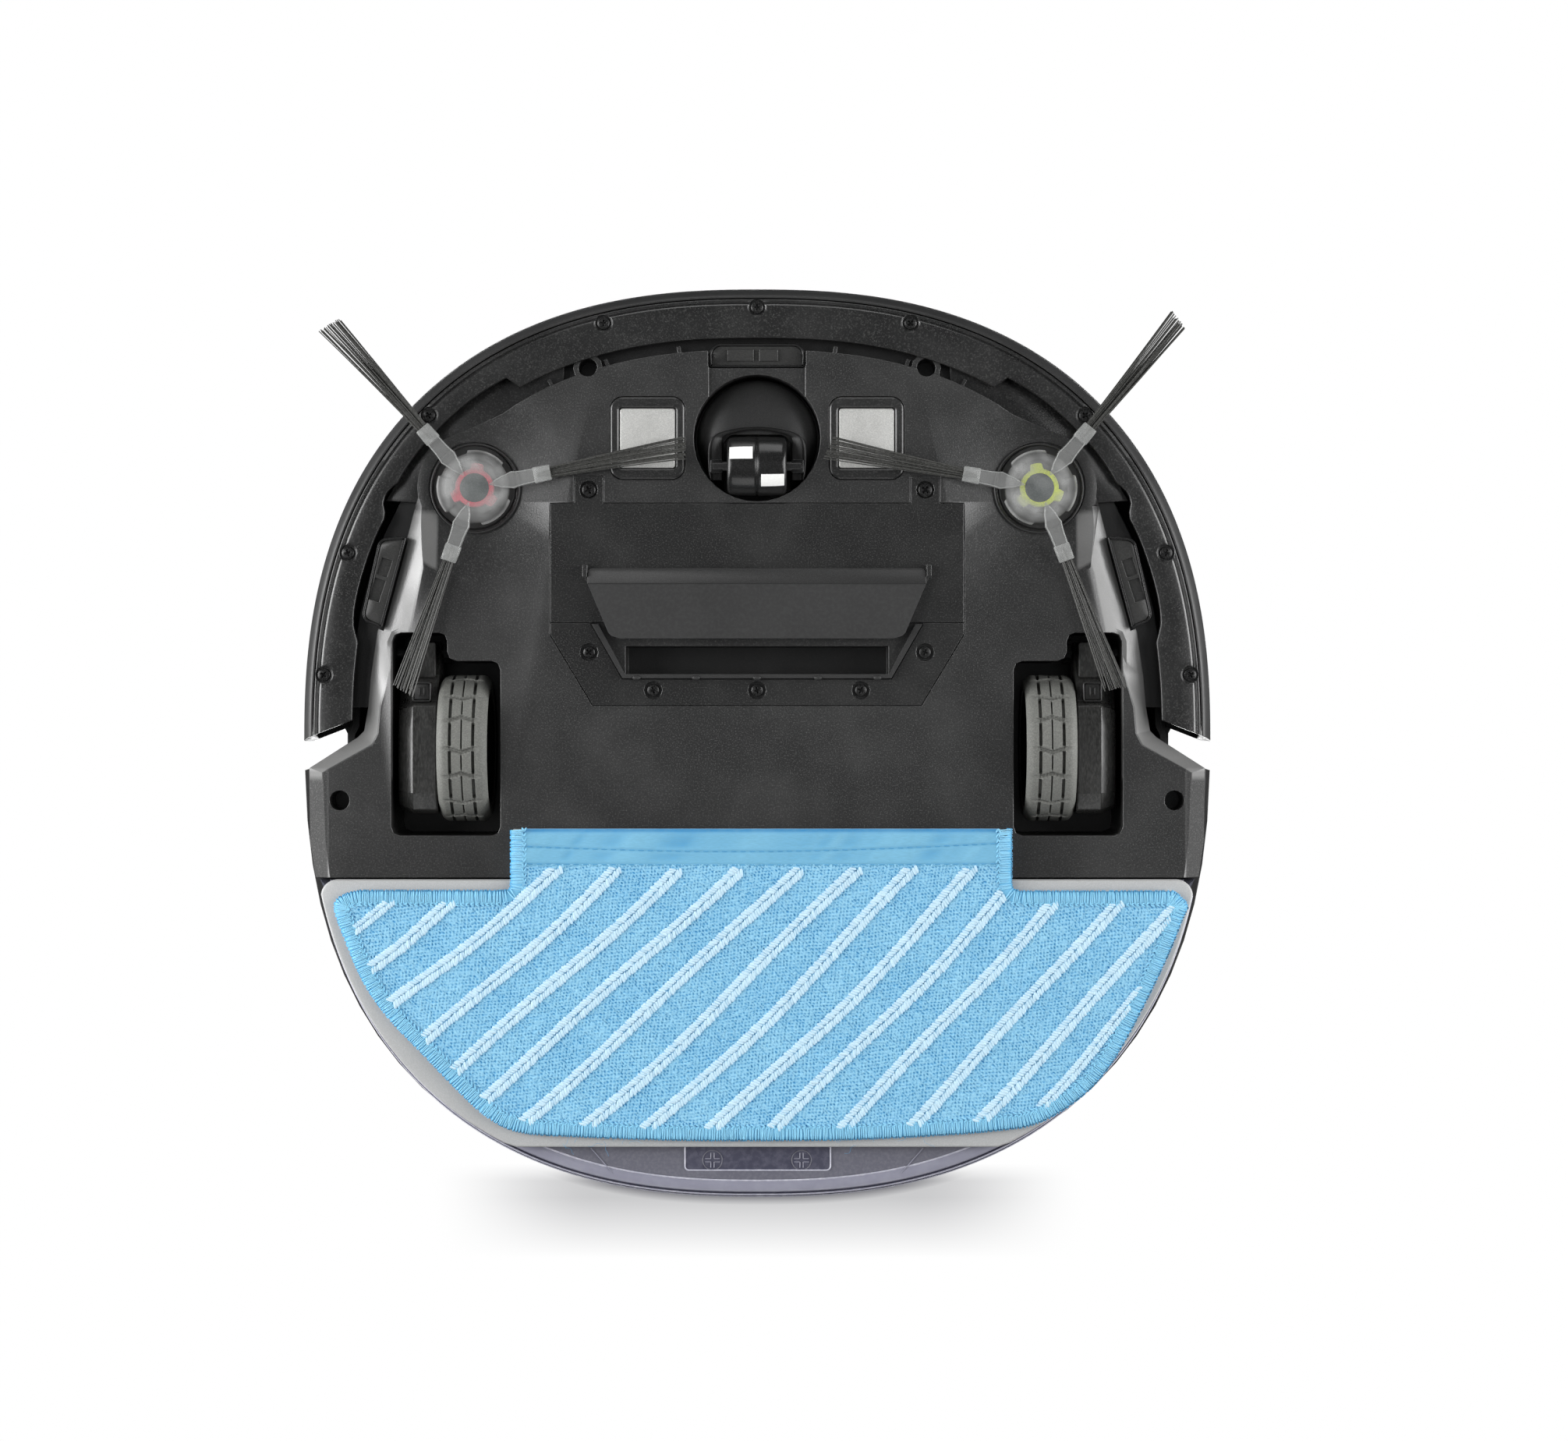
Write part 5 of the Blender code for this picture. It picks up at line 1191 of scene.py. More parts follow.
def caster_roller(axle):
    profile = [(1.9 * MM, -10 * MM)]
    for step in range(33):
        x = -10 + 20 * step / 32
        radius = 10.0 - 0.55 * (abs(x) / 10) ** 3
        if abs(x) > 9.0:
            radius -= 1.2 * (abs(x) - 9.0) ** 2
        if abs(x) < 0.2:
            radius -= 0.35
        profile.append((radius * MM, x * MM))
    profile.append((1.9 * MM, 10 * MM))
    roller = lathe("caster_roller", profile, axle, "X", 96, closed=True)
    piece("caster_roller", roller, gloss, "caster_wheel", ["caster_wheel"])
    for number, (x, degrees) in enumerate(((-5.3, -24), (5.3, 32)), 1):
        label(number, axle, x, degrees)


def label(number, axle, x, degrees):
    """A plain white sticker wrapped on the roller."""
    half_x, half_turn = 3.9 * MM, 13.0
    columns, rows = 10, 10
    points = []
    for lift in (0.02 * MM, 0.16 * MM):
        for i in range(columns + 1):
            for k in range(rows + 1):
                px = x * MM + half_x * (2 * i / columns - 1)
                turn = math.radians(degrees + half_turn * (2 * k / rows - 1))
                radius = (10.0 - 0.55 * (abs(px / MM) / 10) ** 3) * MM + lift
                py, pz = axle.y + radius * math.sin(turn), axle.z - radius * math.cos(turn)
                points.append((axle.x + px, py, pz))
    sticker = shape("label", points, slab_faces(columns, rows))
    piece(f"caster_label_{number}", sticker, white_label, "caster_wheel")


# Sensors, contacts and inlet

def cliff_window(name, outline, eyes, level, node):
    """A smoked window in a raised frame, with two dark eyes sunk in it."""
    inner = inset(outline, 0.9 * MM)
    rim_mesh = frame_plate("rim", outline, inner, level, level + 3.4 * MM, 0.25 * MM)
    piece(f"{name}_rim", rim_mesh, gloss, "main_body", [node])
    glass = soft_plate("pane", inset(outline, 0.95 * MM), level + 0.7 * MM, level + 3.2 * MM, 0.25 * MM)
    pane = piece(f"{name}_pane", glass, sensor, "main_body")
    cut_from(pane, [loft("eye", [(eye, level), (eye, level + 1.6 * MM)]) for eye in eyes])
    for number, eye in enumerate(eyes, 1):
        dark = soft_plate("eye", inset(eye, 0.1 * MM), level + 1.7 * MM, level + 2.4 * MM, 0.1 * MM)
        piece(f"{name}_eye_{number}", dark, pit_black, "main_body")


def cliff_windows():
    low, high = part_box("cliff_window_front")
    edges = rectangle(low.x - 0.2 * MM, low.y, high.x + 0.2 * MM, high.y)
    outline = rounded(edges, [4 * MM, 4 * MM, 0.6 * MM, 0.6 * MM], 8)
    eyes = [rectangle(-10.0 * MM, low.y + 2.2 * MM, -1.2 * MM, low.y + 6.0 * MM),
            rectangle(0.8 * MM, low.y + 2.2 * MM, 7.0 * MM, low.y + 6.0 * MM)]
    cliff_window("cliff_front", outline, eyes, 11.4 * MM, "cliff_window_front")
    corners = [(118.2, -69.6), (127.6, -69.0), (133.8, -41.5), (126.6, -38.5)]
    for side, sign in SIDES:
        points = [(sign * x * MM, y * MM) for x, y in corners]
        outline = rounded(points, [0.7 * MM, 3.5 * MM, 3.5 * MM, 0.7 * MM], 8)
        start, end = Vector((123.9, -64.0)), Vector((130.6, -43.5))
        along = (end - start).normalized()
        across = Vector((-along.y, along.x))
        eyes = []
        for first, last in ((2.2, 8.2), (9.4, 17.0)):
            quad = []
            for distance, aside in ((first, -2.3), (last, -2.3), (last, 1.6), (first, 1.6)):
                point = start + along * distance + across * aside
                quad.append((sign * point.x * MM, point.y * MM))
            eyes.append(quad)
        cliff_window(f"cliff_{side}", outline, eyes, 10.2 * MM, f"cliff_window_{side}")


def contact_details():
    for side, _ in SIDES:
        low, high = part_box(f"contact_frame_{side}")
        outer = rounded(rectangle(low.x, low.y, high.x, high.y), 4.0 * MM, 8)
        low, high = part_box(f"contact_plate_{side}")
        gap = 0.3 * MM
        hole = rounded(rectangle(low.x - gap, low.y - gap, high.x + gap, high.y + gap), 1.2 * MM, 8)
        bezel = frame_plate("bezel", outer, hole, 7.95 * MM, 10.4 * MM, 0.45 * MM)
        piece(f"contact_bezel_{side}", bezel, ring_charcoal, "main_body", [f"contact_frame_{side}"])
        face = rounded(rectangle(low.x, low.y, high.x, high.y), 1.0 * MM, 8)
        pad = soft_plate("pad", face, 8.3 * MM, 9.6 * MM, 0.45 * MM)
        piece(f"contact_pad_{side}", pad, silver, "main_body", [f"contact_plate_{side}"])


def inlet_flap():
    """A vinyl flap with a dark binding along its hinge, bowed a little along its free edge."""
    (front_y, front_z), (rear_y, rear_z) = (-57.8, 6.5), (-35.0, 3.7)
    columns, rows = 90, 24
    points = []
    for thickness in (-0.5, 0.5):
        for i in range(columns + 1):
            for k in range(rows + 1):
                share = k / rows
                y = front_y + (rear_y - front_y) * share
                half = 57.6 - 8.6 * max(0.0, (share - 0.12) / 0.88)
                if share > 0.93:
                    half -= 3.0 * ((share - 0.93) / 0.07) ** 2
                if share < 0.08:
                    half -= 2.0 * ((0.08 - share) / 0.08) ** 2
                across = 2 * i / columns - 1
                x = half * across
                sag = 0.30 * math.sin(math.pi * share) + 0.25 * share * math.cos(math.pi * across)
                z = front_z + (rear_z - front_z) * share - sag * 0.6 + thickness
                points.append((x * MM, y * MM, z * MM))
    flap = shape("flap_sheet", points, slab_faces(columns, rows))
    piece("flap_sheet", flap, flap_grey, "inlet_flap", ["inlet_flap"])
    corners = [(-56.9, -58.7), (56.9, -58.7), (57.0, -53.4), (-57.0, -53.4)]
    binding = rounded([(x * MM, y * MM) for x, y in corners], [1.6 * MM, 1.6 * MM, 0.3 * MM, 0.3 * MM], 5)
    sections = [(inset(binding, 0.25 * MM), 5.1 * MM), (binding, 5.3 * MM), (binding, 7.0 * MM),
                (inset(binding, 0.25 * MM), 7.2 * MM)]
    piece("flap_binding", loft("flap_binding", sections), flap_dark, "inlet_flap")


def inlet_lip():
    nubs = Batch()
    y = -21.9 * MM
    for x in (-40.5, -20.5, 0.0, 20.5, 40.5):
        nubs.add(knot((x * MM, y, 6.4 * MM), (1, 0), 3.0 * MM, 1.6 * MM, 1.6 * MM))
    piece("lip_nubs", nubs.mesh("lip_nubs"), black_rubber, "main_body")


# Mop

CLOTH_SHOULDER_Y = 49.4
TONGUE_LEFT, TONGUE_RIGHT = -82.4, 85.4
CLOTH_FRONT_Y = 29.0
SATIN_FRONT_Y, SATIN_REAR_Y = 28.7, 41.6
SUNK_Y = 40.4  # in front of this line the knitted face is sunk, under the satin band
# The cloth's rear edge, from its left shoulder round to its right one, in millimetres
CLOTH_REAR = (
    (-136.8, 50.2), (-140.6, 52.4), (-141.3, 56.0), (-139.0, 63.0), (-132.0, 79.5), (-123.5, 92.0),
    (-113.0, 103.0), (-100.0, 116.5), (-90.0, 125.5), (-79.0, 130.4), (-60.0, 131.8), (-30.0, 132.9),
    (0.0, 133.1), (30.0, 132.8), (60.0, 131.4), (80.0, 129.8), (94.5, 127.2), (109.3, 118.0), (119.5, 106.2),
    (129.3, 88.5), (137.3, 72.0), (142.6, 59.0), (144.3, 54.6), (141.5, 51.0),
)
# Each stripe's middle, from its front end to its rear end, in millimetres
STRIPES = (
    (-120.5, 51.5, -137.5, 64.5), (-102.0, 53.0, -131.0, 77.0), (-66.0, 42.0, -124.0, 89.0),
    (-46.5, 42.0, -114.5, 102.5), (-26.5, 42.0, -104.5, 112.5), (-6.5, 42.0, -94.0, 121.0),
    (14.0, 42.0, -79.0, 127.0), (34.0, 42.0, -58.0, 129.0), (53.0, 42.0, -37.0, 130.0),
    (73.0, 42.0, -15.0, 130.0), (84.0, 49.0, 6.0, 129.0), (100.0, 52.0, 28.5, 129.0),
    (121.0, 52.5, 51.0, 128.5), (141.0, 53.5, 73.0, 127.5), (131.0, 80.0, 95.0, 122.0),
)


def cloth_outline():
    """The cloth's edge in millimetres, from its tongue's left corner round the rear to its right corner."""
    left = [(TONGUE_LEFT, y) for y in np.arange(CLOTH_FRONT_Y, CLOTH_SHOULDER_Y - 2.0, 2.0)]
    left += [(TONGUE_LEFT - 0.3, CLOTH_SHOULDER_Y - 0.9), (TONGUE_LEFT - 1.2, CLOTH_SHOULDER_Y - 0.2)]
    left += [(x, CLOTH_SHOULDER_Y) for x in np.arange(TONGUE_LEFT - 3, CLOTH_REAR[0][0] + 2, -3.0)]
    right = [(TONGUE_RIGHT, y) for y in np.arange(CLOTH_FRONT_Y, CLOTH_SHOULDER_Y - 2.0, 2.0)]
    right += [(TONGUE_RIGHT + 0.3, CLOTH_SHOULDER_Y - 0.9), (TONGUE_RIGHT + 1.2, CLOTH_SHOULDER_Y - 0.2)]
    right += [(x, CLOTH_SHOULDER_Y + 0.2) for x in np.arange(TONGUE_RIGHT + 3, CLOTH_REAR[-1][0] - 2, 3.0)]
    return left + smooth_path(list(CLOTH_REAR), 5) + right[::-1]


def inside(outline, xs, ys):
    """True where a grid's points are in the outline."""
    found = np.zeros(xs.shape, bool)
    for (x0, y0), (x1, y1) in zip(outline, outline[1:] + outline[:1]):
        if y0 == y1:
            continue
        crosses = (ys > min(y0, y1)) & (ys <= max(y0, y1))
        found ^= crosses & (xs < x0 + (ys - y0) * (x1 - x0) / (y1 - y0))
    return found


def stripe_path(number, x0, y0, x1, y1):
    """A slightly wavy line along one stripe."""
    path = []
    for step in range(61):
        share = step / 60
        wave = math.hypot(x1 - x0, y1 - y0) * (
            0.007 * math.sin(2 * math.pi * share + 0.9 * number) - 0.010 * math.sin(math.pi * share))
        path.append((x0 + (x1 - x0) * share - wave * 0.6, y0 + (y1 - y0) * share - wave * 0.8))
    return path


def walk(points, pitch):
    """Points and directions every pitch along an open path."""
    left = 0.0
    for (x0, y0), (x1, y1) in zip(points, points[1:]):
        here, step = Vector((x0, y0)), Vector((x1 - x0, y1 - y0))
        length = step.length
        if length < 1e-9:
            continue
        direction = step / length
        while left < length:
            yield here + direction * left, direction
            left += pitch
        left -= length


def cloth_face(outline):
    """The knitted face: pits in slanting rows, sunk under the satin band, with walls and a flat back."""
    pitch = 0.34
    xs, ys = np.meshgrid(np.arange(-146, 149, pitch), np.arange(29.4, 133, pitch), indexing="ij")
    keep = inside(inset(outline, 1.6), xs, ys)
    turn = math.radians(-45)
    along = xs * math.cos(turn) - ys * math.sin(turn)
    across = xs * math.sin(turn) + ys * math.cos(turn)
    rng = np.random.default_rng(5)
    rough = rng.normal(0, 1, xs.shape)
    shift = 0.5 * np.sin(xs / 9.0 + 1.0) + 0.4 * np.sin(ys / 7.0)
    row = np.sin(2 * math.pi * (across + 0.25 * shift) / 1.80)
    column = np.sin(2 * math.pi * (along + shift + 0.2 * rough) / 1.45)
    pits = np.maximum(0, row) * np.maximum(0, column)
    other = np.maximum(0, -row) * np.maximum(0, -column)
    swell = 0.02 * np.sin(xs / 7.0 + 1.0) * np.sin(ys / 6.0)
    depth = 0.62 + 0.42 * (pits + other) + swell + 0.035 * rough
    depth += np.where(ys < SUNK_Y, 0.9, 0.0)
    index = -np.ones(xs.shape, int)
    index[keep] = np.arange(keep.sum())
    points = np.stack([xs[keep], ys[keep], depth[keep]], axis=1) * MM
    a, b, c, d = index[:-1, :-1], index[1:, :-1], index[1:, 1:], index[:-1, 1:]
    whole = (a >= 0) & (b >= 0) & (c >= 0) & (d >= 0)
    quads = np.stack([a[whole], b[whole], c[whole], d[whole]], axis=1)
    used = np.unique(quads)
    renumber = -np.ones(len(points), int)
    renumber[used] = np.arange(len(used))
    mesh = bpy.data.meshes.new("cloth_face")
    mesh.from_pydata(points[used].tolist(), [], renumber[quads].tolist())
    bm = bmesh.new()
    bm.from_mesh(mesh)
    rim_edges = [e for e in bm.edges if e.is_boundary]
    made = bmesh.ops.extrude_edge_only(bm, edges=rim_edges)["geom"]
    for vert in (g for g in made if isinstance(g, bmesh.types.BMVert)):
        vert.co.z = 2.7 * MM
    top = [g for g in made if isinstance(g, bmesh.types.BMEdge)]
    bmesh.ops.contextual_create(bm, geom=top)
    bmesh.ops.recalc_face_normals(bm, faces=bm.faces)
    bm.to_mesh(mesh)
    bm.free()
    return mesh


def cloth_stripes(outline):
    """Each stripe is two rows of fat loops leaning against each other."""
    rng = random.Random(11)
    loops = Batch()
    allowed = inset(outline, 4.0)
    for number, line in enumerate(STRIPES):
        thin = 0.80 if number in (0, len(STRIPES) - 1) else 1.0
        for row in (-1, 1):
            for place, direction in walk(stripe_path(number, *line), 0.98):
                aside = Vector((-direction.y, direction.x))
                centre = place + aside * (row * 1.16 * thin) + direction * (0.5 * (row > 0))
                if TONGUE_LEFT + 4.8 < centre.x < TONGUE_RIGHT - 4.8 and centre.y < 41.9:
                    continue
                if not inside(allowed, np.array([centre.x]), np.array([centre.y]))[0]:
                    continue
                slant = math.radians(90 - row * (30 + rng.uniform(-12, 12)))
                lean = Vector((direction.x * math.cos(slant) - direction.y * math.sin(slant),
                               direction.x * math.sin(slant) + direction.y * math.cos(slant)))
                size = rng.uniform(0.86, 1.14)
                spot = (centre.x * MM, centre.y * MM, (0.60 + rng.uniform(-0.07, 0.07)) * MM)
                loops.add(knot(spot, lean, 2.75 * size * thin * MM, 1.12 * size * MM, 1.05 * size * MM, 0.5))
    return loops.mesh("cloth_stripes")


def overlock(outline):
    """Threads wrapped over the cloth's rolled edge, and the chain of loops along their inner ends."""
    rng = random.Random(23)
    threads = Batch()
    profile = ((4.5, 0.95), (3.6, 0.52), (1.6, 0.46), (0.55, 0.72), (0.05, 1.3), (0.35, 2.2), (1.4, 2.7),
               (4.4, 2.6))
    loops = [inset(outline, depth) for depth, _ in profile]
    count = len(outline)
    points = [(x * MM, y * MM, level * MM) for loop, (_, level) in zip(loops, profile) for x, y in loop]
    faces = []
    for k in range(len(profile)):
        here, after = k * count, (k + 1) % len(profile) * count
        for i in range(count - 1):
            faces.append((here + i, here + i + 1, after + i + 1, after + i))
    faces.append(tuple(k * count for k in range(len(profile))))
    faces.append(tuple(k * count + count - 1 for k in range(len(profile)))[::-1])
    threads.add((points, faces))
    for place, direction in walk(outline, 0.54):
        inward = Vector((direction.y, -direction.x))
        lean = direction * rng.uniform(-0.45, 0.45)
        wide = 4.5 + rng.uniform(-0.35, 0.35)
        rows = ((wide, 0.60), (wide * 0.75, 0.36), (wide * 0.4, 0.33), (0.55, 0.55), (-0.1, 1.3), (0.3, 2.3),
                (1.6, 2.75))
        points = []
        for k, (depth, level) in enumerate(rows):
            spot = place + inward * depth + lean * (k / 3)
            points.append((spot.x * MM, spot.y * MM, (level + rng.uniform(-0.08, 0.08)) * MM))
        threads.add(tube(points, 0.26 * MM, 5))
    for place, direction in walk(outline, 1.7):
        inward = Vector((direction.y, -direction.x))
        for depth, turn in ((4.2, 0.5), (4.9, -0.5)):
            spot = place + inward * (depth + rng.uniform(-0.15, 0.15))
            lean = direction * math.cos(turn) + inward * math.sin(turn)
            threads.add(knot((spot.x * MM, spot.y * MM, 0.50 * MM), lean, 1.7 * MM, 0.6 * MM, 0.6 * MM))
    return threads.mesh("cloth_overlock")


def satin_band():
    """The folded tape along the tongue's front edge, puckered between its two rows of stitches."""
    columns, rows = 420, 44
    points, faces = [], []
    rng = random.Random(31)
    creases = [(rng.uniform(-75, 78), rng.uniform(1.5, 6), rng.uniform(-0.34, 0.42)) for _ in range(34)]
    x0, x1, y0, y1 = TONGUE_LEFT + 4.2, TONGUE_RIGHT - 4.2, SATIN_FRONT_Y, SATIN_REAR_Y
    for i in range(columns + 1):
        x = x0 + (x1 - x0) * i / columns
        for k in range(rows + 1):
            y = y0 + (y1 - y0) * k / rows
            share = (y - y0) / (y1 - y0)
            level = 0.50 + 1.7 * max(0.0, 1 - share / 0.16) ** 1.6
            level += 0.55 * max(0.0, (share - 0.955) / 0.045) ** 2
            held = 1.0
            for line in (stitch_row(x, 0), stitch_row(x, 1)):
                held *= 1 - math.exp(-((y - line) / 1.3) ** 2)
                level += 0.20 * math.exp(-((y - line) / 0.45) ** 2)
            for place, width, rise in creases:
                swell = rise * held * math.exp(-((x - place + 9 * share) / width) ** 2)
                level += swell * math.sin(math.pi * share)
            points.append((x * MM, y * MM, level * MM))
    for i in range(columns):
        for k in range(rows):
            a = i * (rows + 1) + k
            faces.append((a, a + rows + 1, a + rows + 2, a + 1))
    return shape("satin_band", points, faces)


def stitch_row(x, row):
    share = (x + 80) / 160
    bow = math.sin(math.pi * share)
    return 34.6 + 2.2 * bow - 0.9 * share if row == 0 else 40.5 + 0.4 * bow


def stitches():
    dashes = Batch()
    for row in (0, 1):
        x = -77.0
        while x < 79.5:
            y = stitch_row(x + 1.1, row)
            dashes.add(knot(((x + 1.1) * MM, y * MM, 0.60 * MM), (1, 0.02), 2.1 * MM, 0.40 * MM, 0.36 * MM))
            x += 3.1
    return dashes.mesh("cloth_stitches")


def lint():
    """A few loose fibres caught on the rear edge."""
    rng = random.Random(41)
    fibres = Batch()
    spots = [(rng.uniform(-70, 80), rng.uniform(130, 135)) for _ in range(22)]
    for x, y in spots:
        heading = rng.uniform(0, 2 * math.pi)
        points = []
        for step in range(8):
            points.append((x * MM, y * MM, (1.2 - 0.1 * step) * MM if y < 134 else 2.6 * MM))
            heading += rng.uniform(-0.8, 0.8)
            x += 0.8 * math.cos(heading)
            y += 0.8 * math.sin(heading)
        fibres.add(tube(points, 0.035 * MM, 4))
    return fibres.mesh("cloth_lint")


def polygon_area(points):
    pairs = zip(points, points[1:] + points[:1])
    return abs(sum(x0 * y1 - x1 * y0 for (x0, y0), (x1, y1) in pairs)) / 2


def mop_cloth():
    outline = cloth_outline()
    face = piece("cloth_face", cloth_face(outline), terry, "mop_unit", ["mop_cloth"],
                 angle=60)
    stripes = piece("cloth_stripes", cloth_stripes(outline), stripe_yarn, "mop_unit", (),
                    80)
    border = piece("cloth_overlock", overlock(outline), overlock_yarn, "mop_unit", (), 80)
    tape = piece("satin_band", satin_band(), satin_tape, "mop_unit", (), 60)
    thick = tape.modifiers.new("thickness", "SOLIDIFY")
    thick.thickness = 0.3 * MM
    thick.offset = -1
    seam = piece("cloth_stitches", stitches(), stitch_yarn, "mop_unit", (), 80)
    fluff = piece("cloth_lint", lint(), overlock_yarn, "mop_unit")
    polygon_area(outline) * MM * MM


# Mop plate and water tank

def mop_plate():
    """The grey plate with a tongue to the front, whose rims are rounded over."""
    low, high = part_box("mop_plate")
    radius, front, rear, tongue, corner = 0.1509, 0.0459, high.y, 0.0818, 5 * MM
    outer = rear_arc(radius, front + corner, 161)
    outer = [(x, y) for x, y in outer if y < rear - 0.5 * MM]
    half = len([x for x, _ in outer if x < 0])
    left, right = outer[:half], outer[half:]
    corner_x = outline_point(radius, outline_angle(radius, front + corner))[0]
    nose = []
    for step in range(9):
        turn = math.pi / 2 * step / 8
        nose.append((corner_x - corner * (1 - math.cos(turn)) - 0.0004 * math.sin(turn),
                     front + corner - corner * math.sin(turn)))
    nose += [(tongue, front), (tongue, low.y), (-tongue, low.y), (-tongue, front)]
    nose += [(-x, y) for x, y in nose[8::-1]]
    outline = left + [(left[-1][0] + 4 * MM, rear), (right[0][0] - 4 * MM, rear)] + right + nose[1:-1]
    plate = loft("mop_plate", [
        (inset(outline, 1.3 * MM), low.z), (inset(outline, 0.45 * MM), low.z + 0.2 * MM),
        (inset(outline, 0.1 * MM), low.z + 0.7 * MM), (outline, low.z + 1.4 * MM),
        (outline, high.z - 0.3 * MM), (inset(outline, 0.3 * MM), high.z),
    ])
    piece("mop_tray", plate, plate_grey, "mop_unit", ["mop_plate"])


def rear_arc(radius, start_y, count):
    start = outline_angle(radius, start_y)
    return outline_arc(radius, math.pi - start, start, count)


def tank_arc(radius, start_y):
    """The tank's outline is a little narrower than the body's."""
    return [(0.989 * x, y) for x, y in rear_arc(radius, start_y, 121)]


# The tank's mouldings, each a closed profile of (radius, level) in millimetres. From the floor outwards they
# are a broad rounded bead, a dark groove, and the stepped outer wall, with a fine line at each step.
TANK_BANDS = (
    ("tank_bead", tank_edge, (
        (147.4, 12.0), (147.4, 9.3), (147.9, 8.75), (148.9, 8.5), (150.4, 8.55), (151.2, 9.0), (151.5, 9.8),
        (151.5, 12.0),
    )),
    ("tank_line_inner", tank_line, ((147.1, 10.0), (147.2, 8.7), (147.5, 8.55), (147.8, 8.8),
                                    (147.8, 10.0))),
    ("tank_groove", tank_dark, ((151.3, 14.0), (151.3, 11.2), (152.6, 11.6), (152.6, 14.0))),
    ("tank_line_middle", tank_line, ((152.1, 14.0), (152.2, 10.5), (152.4, 10.3), (152.7, 10.6),
                                     (152.7, 14.0))),
    ("tank_step", tank_dark, ((152.5, 20.0), (152.6, 13.5), (153.4, 14.6), (153.8, 17.0), (153.8, 20.0))),
    ("tank_line_outer", tank_line, ((153.5, 24.0), (153.6, 17.6), (153.9, 17.3), (154.2, 17.7),
                                    (154.3, 24.0))),
    ("tank_skirt", tank_dark, ((152.9, 26.0), (153.0, 20.5), (154.2, 20.3), (154.5, 21.2), (154.5, 26.0))),
)


def tank():
    low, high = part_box("tank_body")
    floor = [(0.1440, low.y), (-0.1440, low.y)] + tank_arc(147.6 * MM, 0.050)
    base = loft("tank_floor", [
        (inset(floor, 0.6 * MM), low.z + 0.3 * MM), (floor, low.z + 0.9 * MM), (floor, low.z + 2.4 * MM),
    ])
    piece("tank_floor", base, tank_inner, "mop_unit", ["tank_body"])
    full = [(0.1486, low.y), (-0.1486, low.y)] + tank_arc(0.1528, 0.050)
    shell = loft("tank_shell", [
        (inset(full, 2.0 * MM), low.z + 3.2 * MM), (inset(full, 0.8 * MM), low.z + 6.0 * MM),
        (full, low.z + 10.0 * MM), (full, high.z - 1.2 * MM), (inset(full, 0.9 * MM), high.z),
    ])
    piece("tank_shell", shell, smoked, "mop_unit", ())
    for name, material, profile in TANK_BANDS:
        arcs = [tank_arc(radius * MM, 0.052) for radius, _ in profile]
        piece(name, swept(name, arcs, [level * MM for _, level in profile]), material, "mop_unit", angle=35)
    recess = rounded(rectangle(-24.5 * MM, 133.0 * MM, 25.0 * MM, 144.2 * MM), 1.6 * MM, 6)
    sunk = soft_plate("recess", inset(recess, 0.3 * MM), low.z + 0.05 * MM, low.z + 1.2 * MM, 0.1 * MM)
    piece("tank_recess", sunk, tank_dark, "mop_unit")
    edge = frame_plate("rim", recess, inset(recess, 0.5 * MM), low.z - 0.15 * MM, low.z + 1.2 * MM,
                       0.12 * MM)
    piece("tank_recess_rim", edge, tank_line, "mop_unit")
    for number, x in enumerate((-15.0, 15.0), 1):
        cross_disc(number, x * MM, 140.6 * MM, low.z)
    ribs = Batch()
    for sign in (-1, 1):
        start = Vector((sign * 56 * MM, 136.5 * MM, low.z + 0.15 * MM))
        ribs.add(tube([start, start + Vector((-sign * 7.5 * MM, 8.5 * MM, 0))], 0.20 * MM, 6))
    piece("tank_ribs", ribs.mesh("ribs"), tank_edge, "mop_unit")


def cross_disc(number, x, y, z):
    """A ring round a cross, moulded in the tank's recess."""
    ring = lathe("ring", [
        (3.15 * MM, z - 0.10 * MM), (3.45 * MM, z - 0.10 * MM), (3.55 * MM, z + 0.5 * MM),
        (3.05 * MM, z + 0.5 * MM),
    ], (x, y, 0), steps=48, closed=True)
    piece(f"tank_cross_ring_{number}", ring, tank_inner, "mop_unit")
    bars = Batch()
    for dx, dy in ((1, 0), (0, 1)):
        for aside in (-0.55, 0.55):
            for start, end in ((-2.5, -0.55), (0.55, 2.5)):
                points = [
                    (x + (dx * s - dy * aside) * MM, y + (dy * s + dx * aside) * MM, z) for s in (start, end)
                ]
                bars.add(tube(points, 0.17 * MM, 6))
    piece(f"tank_cross_bars_{number}", bars.mesh("bars"), tank_edge, "mop_unit")


# Top side

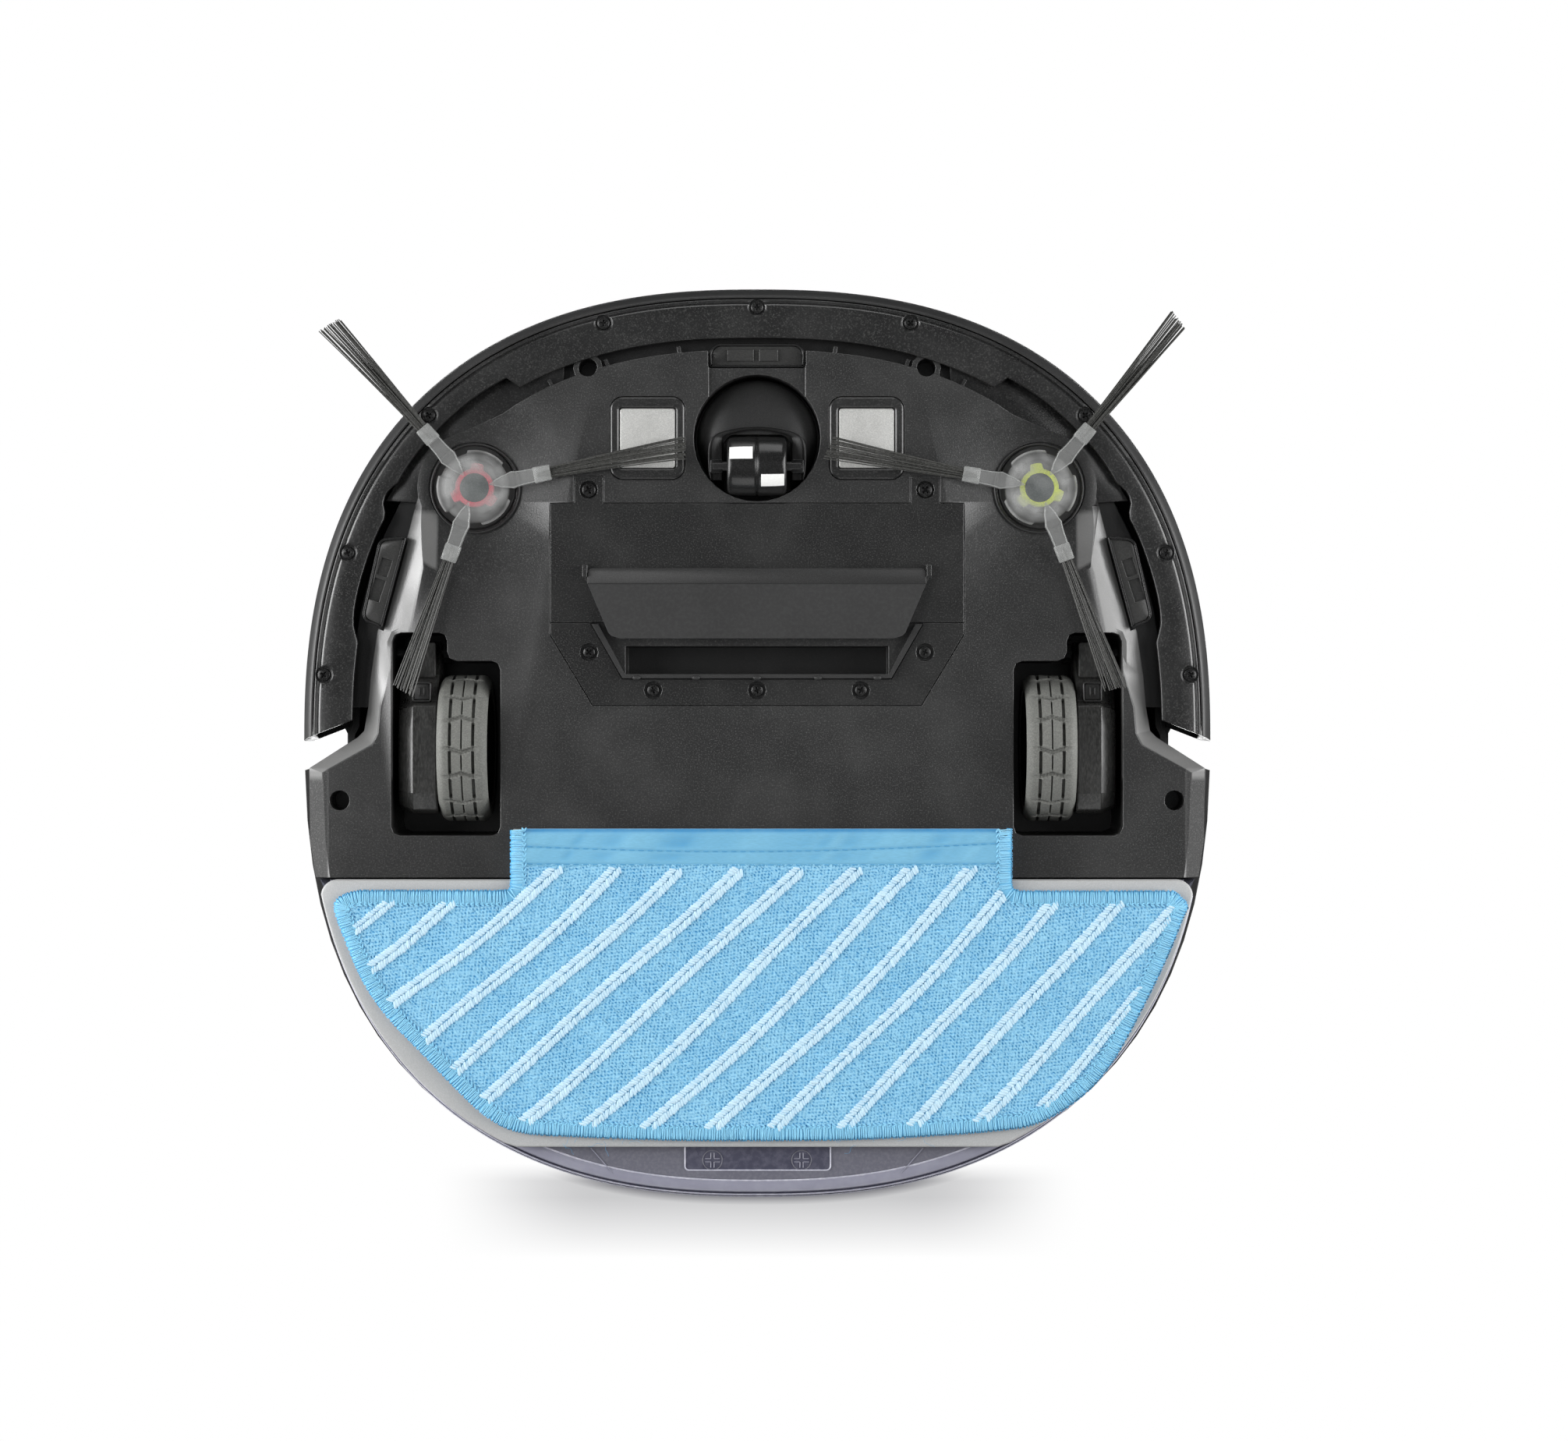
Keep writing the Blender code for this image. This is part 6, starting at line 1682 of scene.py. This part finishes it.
def top_details():
    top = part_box("top_housing")[1].z
    button = middle_of("start_button")
    ring = lathe("button_ring", [
        (9.4 * MM, top - 1.2 * MM), (9.4 * MM, top + 0.05 * MM), (9.7 * MM, top + 0.2 * MM),
        (10.6 * MM, top + 0.2 * MM), (10.9 * MM, top + 0.02 * MM), (10.9 * MM, top - 1.2 * MM),
    ], (button.x, button.y, 0), steps=72, closed=True)
    piece("button_ring", ring, steel, "main_body")
    window = rounded(rectangle(-14 * MM, -137.5 * MM, 14 * MM, -130.5 * MM), 3.4 * MM, 8)
    window = soft_plate("window", window, top - 0.5 * MM, top + 0.2 * MM, 0.2 * MM)
    piece("top_window", window, gloss, "main_body")
    profile = [
        (0, top + 0.18 * MM), (0.9 * MM, top + 0.14 * MM), (1.1 * MM, top - 0.3 * MM), (0, top - 0.3 * MM),
    ]
    for number in range(3):
        x = (number - 1) * 9 * MM
        lamp = lathe("lamp", profile, (x, -90 * MM, 0), steps=24)
        piece(f"status_lamp_{number + 1}", lamp, white_label, "main_body")


NODE_MATERIALS = (
    ("base_chassis", chassis_charcoal()), ("battery_door", ring_charcoal), ("inlet_frame", ring_charcoal),
    ("inlet_lip", black_rubber), ("top_housing", satin), ("top_lid", satin), ("lid_hinge_pin", steel),
    ("start_button", button_grey), ("impeller", button_grey), ("blower_housing", plastic),
    ("brush_motor", plastic), ("caster_axle", dark_steel), ("pivot_pin", dark_steel),
    ("suspension_spring", dark_steel), ("battery_pack", battery_wrap), ("main_board", board_green),
    ("dust_bin", smoked), ("dust_filter", paper), ("tank_plug", black_rubber),
)


def finish_nodes():
    for name, obj in nodes.items():
        if obj.hide_render:
            continue
        found = [material for start, material in NODE_MATERIALS if name.startswith(start)]
        finish_node(name, found[0])


camera_and_lights()
stage()
bumper()
screws()
for side, sign in SIDES:
    tyre(side)
    rim(side, sign)
    gearbox(side, sign)
    brush_hub(side)
    brush_core(side)
caster()
cliff_windows()
contact_details()
inlet_flap()
inlet_lip()
mop_plate()
mop_cloth()
tank()
top_details()
finish_nodes()
